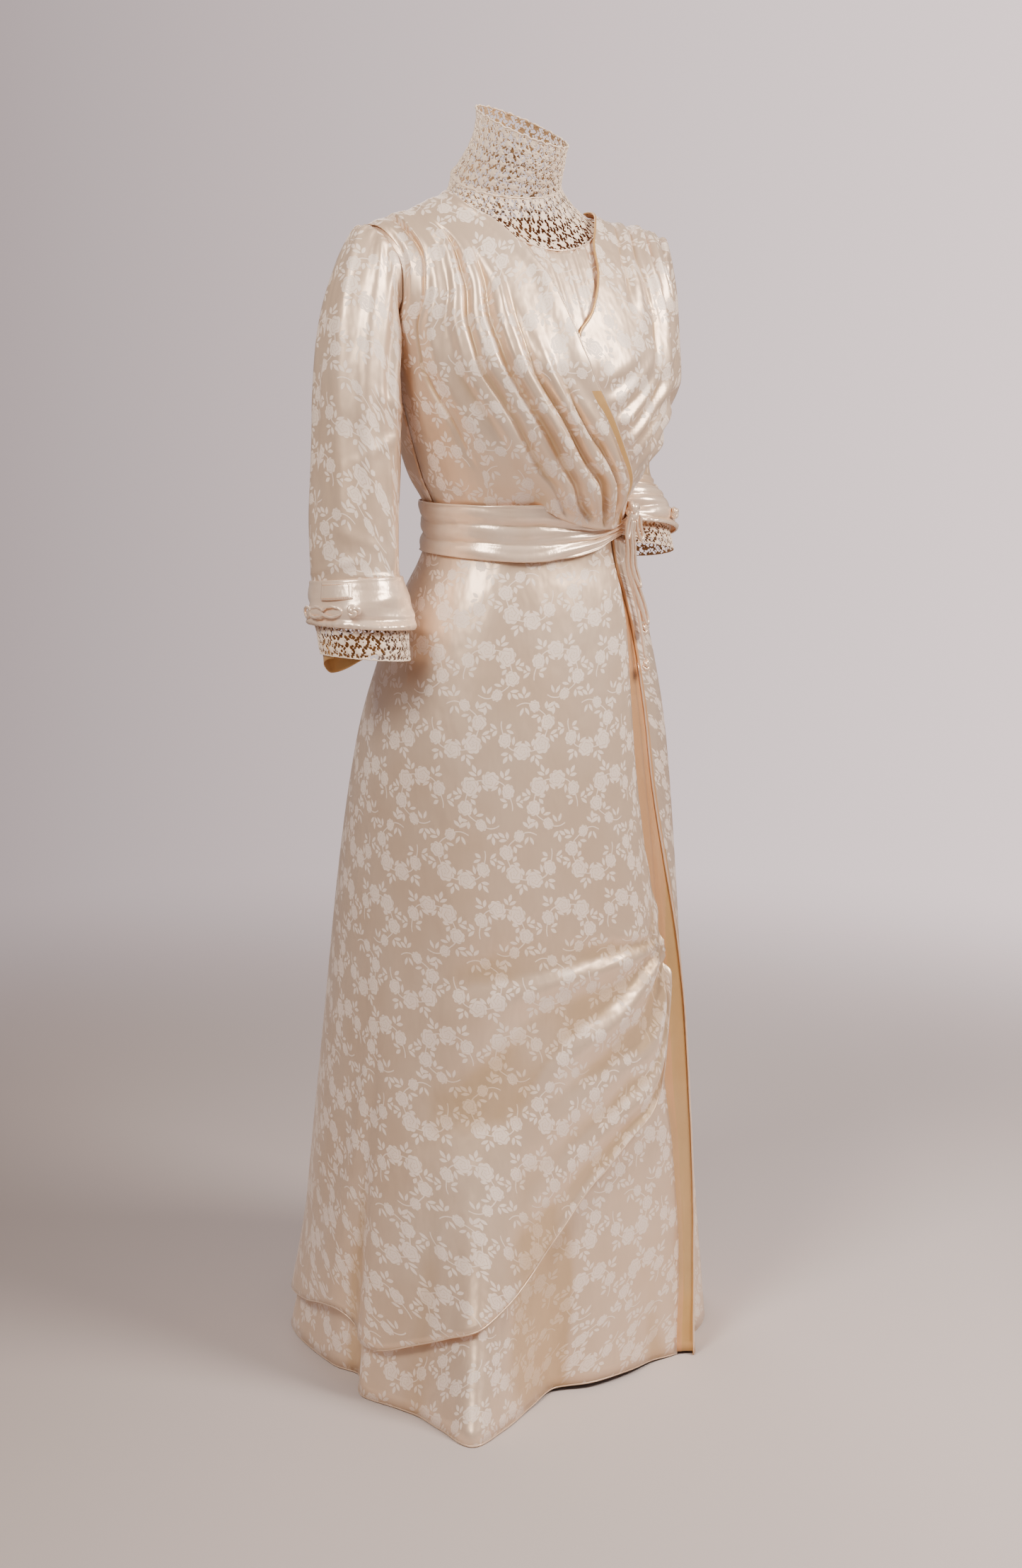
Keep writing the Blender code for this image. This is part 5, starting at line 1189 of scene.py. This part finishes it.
def on_cuff(side_name, turn, down, out):
    """Places on the satin cuff, moved out of it, as the pieces have them, and the way to each from the arm's
    middle."""
    line = cuff_ring(side_name, turn, down, *cuff_sizes(SATIN_CUFF, down, out)) - (0, 0, SHOULDER_LINE)
    middle = cuff_ring(side_name, turn, down, 0.0, 0.0) - (0, 0, SHOULDER_LINE)
    return line, line - middle


def stitches(name, line, outward, finish):
    """Running stitches along a line: every second short step of it is a flat four-sided bead."""
    mids = (line[:-1:2] + line[1::2]) / 2
    ahead = unit(line[1::2] - line[:-1:2]) * STITCH_LENGTH / 2
    lift = unit(outward[:-1:2])
    side = np.cross(unit(ahead), lift) * STITCH_WIDTH / 2
    lift = lift * STITCH_WIDTH * 0.6
    corners = np.stack([mids - ahead, mids + side, mids + ahead, mids - side, mids + lift, mids - lift], 1)
    pattern = np.array([(0, 3, 4), (3, 2, 4), (2, 1, 4), (1, 0, 4),
                        (3, 0, 5), (2, 3, 5), (1, 2, 5), (0, 1, 5)])
    faces = (np.arange(len(mids))[:, None, None] * 6 + pattern).reshape(-1, 3)
    return new_piece(name, corners, faces, [finish])


for side_name, side in SIDES.items():
    t, turn = grid(np.linspace(0, 1, 40), np.linspace(0, 360, 151) * -side)
    down = SATIN_CUFF[0][0] + (SATIN_CUFF[-1][0] - SATIN_CUFF[0][0]) * t
    slanted = down + CUFF_SLANT[side_name] * np.sin(np.radians(turn + CUFF_SLANT_TURN)) * t ** 1.5
    plain = cuff_ring(side_name, turn, slanted - 0.002 * t, *cuff_sizes(SATIN_CUFF, down))
    relief = CUFF_ROLL * bump((t - 0.93) / 0.10) - CUFF_GROOVE * bump((t - 0.80) / 0.07)
    relief = relief + CUFF_RIM * bump((t - 0.03) / 0.05)
    pull = np.radians(turn * 5 + 50 * np.sin(np.radians(turn * 2)) + 210 * t)
    relief = relief + PULL_OUT * np.sin(pull) * ease(0.20, 0.5, t) * (1 - ease(0.85, 1.0, t))
    fine = np.sin(np.radians(turn * 47) + 3 * np.sin(np.radians(turn * 5)))
    relief = relief + FINE_OUT * fine * ease(0.80, 0.97, t)
    relief = relief + SOFT_OUT * np.sin(t * 11 + np.radians(turn * 2.0)) * ease(0.20, 0.5, t)
    ruched = np.abs(np.sin(np.pi * (3.6 * t + 0.25 * np.sin(np.radians(turn * 2))))) ** 0.7
    relief = relief + RUCHING[side_name] * ruched * ease(0.0, 0.15, t)
    cloth(f"cuff_{side_name}_satin", outer_face(plain, WALL + relief), [satin, lining],
          [f"cuff_{side_name}"], around=True, plain=plain)

    t, turn = grid(np.linspace(0, 1, 16), np.linspace(*TAB_ANGLES, 40)[::-side])
    down = TAB_DOWN[0] + (TAB_DOWN[1] - TAB_DOWN[0]) * t
    to_end = np.abs(turn - TAB_ANGLES[0]).clip(0, TAB_ANGLES[1] - turn) / 2
    border = np.minimum(np.minimum(t, 1 - t) * 16, to_end)
    puff = TAB_PUFF * ease(0, 2.2, border) - TAB_DENT * bump((border - 1.6) / 0.8)
    tab = cuff_ring(side_name, turn, down, *cuff_sizes(SATIN_CUFF, down, WALL + TAB_OUT + puff))
    cloth(f"cuff_tab_{side_name}", tab, [satin, satin], [],
          thickness=TAB_THICKNESS)
    turn = np.linspace(TAB_ANGLES[0] + STITCH_MARGIN, TAB_ANGLES[1] - STITCH_MARGIN, 30)
    for row, down in enumerate((TAB_DOWN[0] + STITCH_INSET, TAB_DOWN[1] - STITCH_INSET)):
        line, outward = on_cuff(side_name, turn, down, WALL + FROG_OUT)
        stitches(f"cuff_tab_stitches_{side_name}_{row}", line, outward, lining)

    t = np.linspace(0, 2 * np.pi, 300, endpoint=False)
    part = 0.5 - 0.5 * np.cos(t)
    turn = FROG_ANGLES[0] + (FROG_ANGLES[1] - FROG_ANGLES[0]) * part
    opened = 0.22 + 0.78 * np.abs(np.sin(np.pi * FROG_LOOPS * part)) ** 0.55
    down = FROG_MIDDLE - FROG_HALF * opened * np.tanh(4 * np.sin(t))
    line, outward = on_cuff(side_name, turn, down, WALL + FROG_OUT + FROG_WAVE * np.sin(3 * t + 0.6))
    frog = rouleau(f"cuff_frog_{side_name}_loops", line, FROG_CORD, satin, unit(outward), closed=True,
                   sides=10, wrinkle=0.10)
    centre, outward = on_cuff(side_name, np.array(float(CUFF_KNOT_ANGLE)), FROG_MIDDLE, KNOT_OUT[side_name])
    away = unit(outward * (1, 1, 0))
    cuff_knot = knotted(f"cuff_knot_{side_name}_of_rouleau", centre, CUFF_KNOT_SIZE, satin, CUFF_KNOT_PETALS,
                        CUFF_KNOT_RADIUS, np.array([-away[1], away[0], 0]), away)
    for piece, node in ((frog, f"cuff_frog_{side_name}"), (cuff_knot, f"cuff_knot_{side_name}")):
        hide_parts(node)

# Lace: cotton needle lace for the standing collar, the yoke and the undercuffs, small flowers and leaf
# sprigs worked solid and joined by fine bars, so that the ground is mostly open. Its wrong side, which shows
# inside the collar and the cuffs, is painted darker and browner as shade. The collar's top edge is wired, and
# a cord covers its seam.
LACE_ACROSS, LACE_DOWN = 12.0, 10.0   # one flower's place in the lace, in millimetres
COLLAR_SIZE, YOKE_SIZE, CUFF_SIZE = (78, 380), (62, 470), (47, 330)   # down and round, in millimetres
LACE_STEP = 1.05           # spacing of the grid that the lace is cut from, in millimetres
LACE_PITCH = 5.2           # spacing of the bars, in millimetres
BAR_HALF_WIDTH = 0.36      # in millimetres, a little heavier than the real 0.6 mm thread so that it holds
LACE_WALL = 0.0008
LACE_LIGHT, LACE_DEEP = "FFEEDD", "EACFAF"
# Wrong side of the lace: painted shade, darker and browner than the cotton, for the shade inside the collar
# and cuffs
REVERSE_SHADE_LIGHT, REVERSE_SHADE_DEEP = "C6A279", "946F49"
LACE_EDGE = 0.9            # half width of the thread along both edges, in millimetres
LACE_REACH, LACE_KEEP = 0.9, -0.10   # how far a corner slides, and the least field of a cell that stays
LACE_PROUD = 0.00045       # how far the solid parts stand out, in metres for each millimetre inside a thread
LACE_ROUGHNESS, LACE_SHEEN = 0.85, 0.25
LACE_DUST, LACE_TWIST = 1 / 130.0, 1 / 900.0   # sizes of the dusty patches and of the thread's twist
LACE_BUMP = (0.6, 0.0008)  # strength and distance
LACE_CORD_OUT = 0.0003     # how much further out the cords on the collar's edges lie
LACE_OUT = 0.0004          # how far the lace's outer face stands out of the solid's inner one
NECK_BASE = ((-0.007, 0.019, 1.395), (0.0667, 0.0520), 0.0224, -0.0030)
NECK_TOP = ((0.0, -0.004, 1.454), (0.0507, 0.0560), 0.0228, 0.0110)
FLARE_ANGLE = -122         # where the collar flares most
YOKE_BEYOND, YOKE_BELOW = 0.006, 0.0015   # how far the yoke goes under the gown, and below the collar's seam
LACE_SHORTER = {"right": 0.004, "left": 0.012}   # how far short of its solid's foot each lace cuff ends
LACE_CUFF = ((0.037, 0.0547, 0.0587), (0.052, 0.0500, 0.0545), (0.068, 0.0495, 0.0540),
             (0.084, 0.0485, 0.0530))


def lace_finish(name, light, deep):
    """Cotton thread: matt and cream, darker where the noise says dust has settled, with a fine bump."""
    made, tree, shader = cloth_finish(name, LACE_ROUGHNESS, LACE_SHEEN)
    place = add(tree, "TexCoord").node.outputs["Object"]
    dust = add(tree, "TexNoise", place, None, 1 / LACE_DUST, 2.0, 0.6)
    twist = add(tree, "TexNoise", place, None, 1 / LACE_TWIST, 1.0, 0.5)
    dress(tree, shader, add(tree, "MixRGB", dust, linear(deep), linear(light)), twist, *LACE_BUMP)
    return made


def lace_thread(u, v, repeats):
    """How far inside a thread each place is, in millimetres, negative in the gaps. Each cell of a brick
    layout has its own flower with five petals, leaf sprig with three leaves, or ring, turned, sized and
    shifted by a number worked out from the cell; slanted bars join them."""
    row = np.floor(v / LACE_DOWN)
    beside = u + (row % 2) * LACE_ACROSS / 2
    column = np.floor(beside / LACE_ACROSS)
    seed = np.sin((column % repeats) * 12.9898 + row * 78.233) * 43758.5453
    seed = seed - np.floor(seed)
    second, third = (seed * 17) % 1, (seed * 61) % 1
    x = beside - (column + 0.5) * LACE_ACROSS - (second - 0.5) * 1.8
    y = v - (row + 0.5) * LACE_DOWN - (third - 0.5) * 1.6
    r, turn = np.hypot(x, y), np.arctan2(y, x) + 2 * np.pi * seed
    size = 4.2 + 0.8 * second
    flower = size * (0.30 + 0.66 * np.abs(np.cos(2.5 * turn)) ** 0.8) - r
    sprig = size * 1.10 * np.abs(np.cos(1.5 * turn)) ** 1.5 - r
    ring = 0.80 - np.abs(r - 3.0)
    solid = np.where(seed < 0.62, flower, np.where(seed < 0.84, sprig, np.maximum(ring, 1.0 - r)))
    around = 2 * np.pi / (repeats * LACE_ACROSS)
    bend_u = u + 1.1 * np.sin(v * 0.55) + 0.7 * np.sin(u * around * 11)
    bend_v = v + 1.1 * np.sin(u * around * 7) + 0.8 * np.sin(u * around * 19 + v * 0.4)
    pitch = repeats * LACE_ACROSS / np.round(repeats * LACE_ACROSS / LACE_PITCH)
    lines = [np.abs((bend_u + way * bend_v + pitch / 2) % pitch - pitch / 2) * 0.74 for way in (0.9, -0.9)]
    return np.maximum(solid, BAR_HALF_WIDTH - np.minimum(*lines))


def lace(name, points, replaced):
    """A tube of lace from a grid of points, top row first, in heights above the floor. The thread field is
    read on the grid, the cells in the gaps are dropped, and the corners left on a gap's edge slide along the
    field's slope to where the thread ends. The solid parts stand a little proud."""
    rows, columns = points.shape[:2]
    down_steps = np.linalg.norm(np.diff(points, axis=0), axis=-1).mean(1) * 1000
    ring = np.linalg.norm(np.roll(points, -1, 1) - points, axis=-1).sum(1).mean() * 1000
    repeats = round(ring / LACE_ACROSS)
    u = np.arange(columns)[None, :] * (repeats * LACE_ACROSS / columns)
    v = np.concatenate([[0], np.cumsum(down_steps)])[:, None] + 0 * u
    thread = np.maximum(lace_thread(u, v, repeats), LACE_EDGE - np.minimum(v, v[-1:] - v))
    slope_u = (np.roll(thread, -1, 1) - np.roll(thread, 1, 1)) / 2
    slope_v = np.gradient(thread, axis=0)
    steep = np.maximum(slope_u ** 2 + slope_v ** 2, 0.05)
    short = np.clip(-thread, 0, LACE_REACH)
    along_u = (np.roll(points, -1, 1) - np.roll(points, 1, 1)) / 2
    along_v = np.gradient(points, axis=0)
    proud = (LACE_PROUD * np.clip(thread, 0, 1.4) + LACE_OUT)[..., None] * unit(np.cross(along_v, along_u))
    moved = points + proud
    moved = moved + along_u * np.clip(short * slope_u / steep, -0.8, 0.8)[..., None]
    moved[1:-1] += (along_v * np.clip(short * slope_v / steep, -0.8, 0.8)[..., None])[1:-1]
    corners = np.stack([thread, np.roll(thread, -1, 1)])
    keep = (corners[:, :-1] + corners[:, 1:]).sum(0) / 4 > LACE_KEEP
    faces = grid_faces(rows, columns, around=True, keep=keep)
    used, faces = np.unique(faces, return_inverse=True)
    placed = moved.reshape(-1, 3)[used] - (0, 0, SHOULDER_LINE)
    piece = new_piece(name, placed, faces.reshape(-1, 4), [cotton_lace, lace_reverse_painted_shade])
    thick = piece.modifiers.new("thickness", "SOLIDIFY")
    thick.thickness = LACE_WALL
    thick.offset = -1
    thick.material_offset = 1
    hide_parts(*replaced)
    return piece


def neck_ring(ring, angle):
    """A ring round the neck: an ellipse that rises towards the back and drops towards one side."""
    (x, y, height), (half_x, half_y), rise, drop = ring
    sine, cosine = np.sin(np.radians(angle)), np.cos(np.radians(angle))
    return np.stack([x + half_x * sine, y - half_y * cosine, height - rise * cosine - drop * sine], -1)


def lace_grid(height, length):
    """Shares down and angles round for a lace grid of about that height and length, in millimetres."""
    rows, columns = round(height / LACE_STEP) + 1, round(length / LACE_STEP)
    return grid(np.linspace(0, 1, rows), np.linspace(-180, 180, columns, endpoint=False))


cotton_lace = lace_finish("cream_cotton_lace", LACE_LIGHT, LACE_DEEP)
# The wrong side: painted shade, darker and browner than the cotton
lace_reverse_painted_shade = lace_finish("cotton_lace_reverse_painted_shade", REVERSE_SHADE_LIGHT, REVERSE_SHADE_DEEP)
t, angle = lace_grid(*COLLAR_SIZE)
t = 1 - t
low, high = neck_ring(NECK_BASE, angle), neck_ring(NECK_TOP, angle)
flare = 0.6 * t * (1 - t) * (1 + np.cos(np.radians(angle - FLARE_ANGLE)))
points = low + (high - low) * (t[..., None] + flare[..., None] * (1, 1, 0))
lace("collar_lace", points, ["collar_lace_front", "collar_lace_back"])
t, angle = lace_grid(*YOKE_SIZE)
top = neck_ring(NECK_BASE, angle) - (0, 0, YOKE_BELOW)
foot = neckline(angle, YOKE_BEYOND)
bend = top + (foot - top) * (0.30, 0.30, 0.62)
t = t[..., None]
points = top * (1 - t) ** 2 + bend * 2 * t * (1 - t) + foot * t * t
lace("yoke_lace", points, ["yoke_lace_front", "yoke_lace_back"])

turn = np.linspace(0, 360, 260, endpoint=False)
for name, ring, radius, wave in (("collar_wire", NECK_TOP, 0.0011, 0.0006),
                                 ("neck_seam_cord", NECK_BASE, 0.0010, 0.0004)):
    line = neck_ring(ring, turn) - (0, 0, SHOULDER_LINE)
    line[:, 2] += wave * np.sin(np.radians(turn * 21)) + wave * np.sin(np.radians(turn * 34 + 40))
    lift = unit((line - line.mean(0)) * (1, 1, 0))
    line = line + lift * (LACE_OUT + LACE_CORD_OUT)
    rouleau(name, line, radius, cotton_lace, lift, closed=True, sides=8, wrinkle=0.12)

for side_name, side in SIDES.items():
    t, turn = lace_grid(*CUFF_SIZE)
    turn = turn * -side
    down = LACE_CUFF[0][0] + (LACE_CUFF[-1][0] - LACE_CUFF[0][0]) * t
    slanted = down + CUFF_SLANT[side_name] * np.sin(np.radians(turn + CUFF_SLANT_TURN))
    points = cuff_ring(side_name, turn, slanted - LACE_SHORTER[side_name] * t, *cuff_sizes(LACE_CUFF, down))
    lace(f"cuff_lace_{side_name}", points, [f"cuff_lace_{side_name}_front", f"cuff_lace_{side_name}_back"])

# Lining of the right lace cuff: a flap of the golden silk that hangs a little below the lace at the back.
FLAP_ANGLES = (-150, 10)
FLAP_DOWN = (0.055, 0.098)
FLAP_IN, FLAP_WAVE, FLAP_WALL = 0.0022, 0.0012, 0.0006

t, turn = grid(np.linspace(0, 1, 20), np.linspace(*FLAP_ANGLES, 60))
down = FLAP_DOWN[0] + (FLAP_DOWN[1] - FLAP_DOWN[0]) * t * (0.55 + 0.45 * bump((turn + 70) / 80))
sag = FLAP_WAVE * np.sin(np.radians(turn * 6) + 3 * t) * t - FLAP_IN
sizes = cuff_sizes(LACE_CUFF, np.minimum(down, LACE_CUFF[-1][0]), sag)
flap = cuff_ring("right", turn, down, *sizes)
cloth("cuff_lining_flap", flap, [facing, facing], [],
      thickness=FLAP_WALL)

# Floor and light: a pale disc with painted shade, darker towards the left, that fades into a plain mauve-grey
# surround with painted light, brighter towards the right; a soft light on the left of the camera, a second on
# the right, and one behind.
FLOOR_RADIUS = 3.0
SURROUND = "C9B8B8"
SURROUND_LEFT, SURROUND_RIGHT = 0.78, 2.75   # strength of the surround that shows behind the gown: painted light, darker on the left and brighter on the right
SURROUND_CHANGE = (-0.25, 0.25)   # from left to right, where it changes
AMBIENT = 0.43             # strength of the light that comes from all round
# Painted shade on the floor: darker towards the left, lighter towards the right
FLOOR_SHADED_LEFT, FLOOR_LIT_RIGHT = "A69A94", "DACFCC"
FLOOR_ROUGHNESS = 0.75
FLOOR_BELOW = 0.0005       # the floor lies that far below the hem
FLOOR_RINGS, FLOOR_SPOKES = 24, 96
FLOOR_CHANGE = (-0.9, 0.6) # from left to right, where the floor's painted shade gives way to its lit colour
FADE_START = 1.7           # distance at which the floor starts to fade
AIM = np.array([0, 0, -0.45])   # what the lights point at
# Each light: name, place, size, power in watts, colour
LIGHTS = (("key", (-2.0, -1.0, 1.35), 1.1, 74, "FFF5EA"), ("fill", (1.15, -1.65, 1.15), 1.1, 94, "FFF5EC"),
          ("back", (0.6, 2.4, 1.3), 1.6, 20, "F8F6FF"))

floor_height = min(cad_box[0].z, -SHOULDER_LINE) - FLOOR_BELOW
ring, turn = grid(np.linspace(0, 1, FLOOR_RINGS), np.linspace(0, 360, FLOOR_SPOKES + 1)[:-1])
disc = np.stack([FLOOR_RADIUS * ring * np.sin(np.radians(turn)),
                 FLOOR_RADIUS * ring * np.cos(np.radians(turn)),
                 floor_height + 0 * ring * turn], -1)
mesh = bpy.data.meshes.new("floor")
faces = grid_faces(FLOOR_RINGS, FLOOR_SPOKES, around=True)[:, ::-1]
mesh.from_pydata(disc.reshape(-1, 3).tolist(), [], faces.tolist())
floor_finish, tree, shader = cloth_finish("pale_floor_painted_shade", FLOOR_ROUGHNESS)
place = add(tree, "TexCoord").node.outputs["Object"]
to_right = (np.cos(CAMERA_TURN), -np.sin(CAMERA_TURN), 0)
across = add(tree, "VectorMath", place, to_right, operation="DOT_PRODUCT").node.outputs["Value"]
across = add(tree, "MapRange", across, *FLOOR_CHANGE)
# Painted shade: the floor's colour darkens towards the left
painted_floor_shade = add(tree, "MixRGB", across, linear(FLOOR_SHADED_LEFT), linear(FLOOR_LIT_RIGHT))
tree.links.new(painted_floor_shade, shader.inputs["Base Color"])
reach = add(tree, "VectorMath", place, operation="LENGTH").node.outputs["Value"]
fade = add(tree, "MapRange", reach, FADE_START, FLOOR_RADIUS, 0.0, 1.0, interpolation_type="SMOOTHSTEP")
clear = tree.nodes.new("ShaderNodeBsdfTransparent")
blend = tree.nodes.new("ShaderNodeMixShader")
tree.links.new(fade, blend.inputs[0])
tree.links.new(shader.outputs[0], blend.inputs[1])
tree.links.new(clear.outputs[0], blend.inputs[2])
tree.links.new(blend.outputs[0], tree.nodes["Material Output"].inputs["Surface"])
mesh.materials.append(floor_finish)
floor = bpy.data.objects.new("floor", mesh)
bpy.context.scene.collection.objects.link(floor)

world = bpy.data.worlds.new("surround")
world.use_nodes = True
tree = world.node_tree
background = tree.nodes["Background"]
background.inputs["Color"].default_value = linear(SURROUND)
towards = add(tree, "TexCoord").node.outputs["Generated"]
across = add(tree, "VectorMath", towards, to_right, operation="DOT_PRODUCT").node.outputs["Value"]
# Painted light on the surround: brighter towards the right, for camera rays only; other rays get AMBIENT
shown = add(tree, "MapRange", across, *SURROUND_CHANGE, SURROUND_LEFT, SURROUND_RIGHT)
seen = add(tree, "LightPath").node.outputs["Is Camera Ray"]
more = add(tree, "Math", shown, AMBIENT, operation="SUBTRACT")
strength = add(tree, "Math", seen, more, AMBIENT, operation="MULTIPLY_ADD")
tree.links.new(strength, background.inputs["Strength"])
bpy.context.scene.world = world
for name, place, size, energy, tint in LIGHTS:
    lamp = bpy.data.lights.new(name, "AREA")
    lamp.shape = "DISK"
    lamp.size = size
    lamp.energy = energy
    lamp.color = linear(tint)[:3]
    light = bpy.data.objects.new(name, lamp)
    light.location = place
    aim = AIM - np.array(place)
    tilt = np.arccos(-aim[2] / np.linalg.norm(aim))
    light.rotation_euler = (tilt, 0, np.arctan2(aim[1], aim[0]) - np.pi / 2)
    bpy.context.scene.collection.objects.link(light)
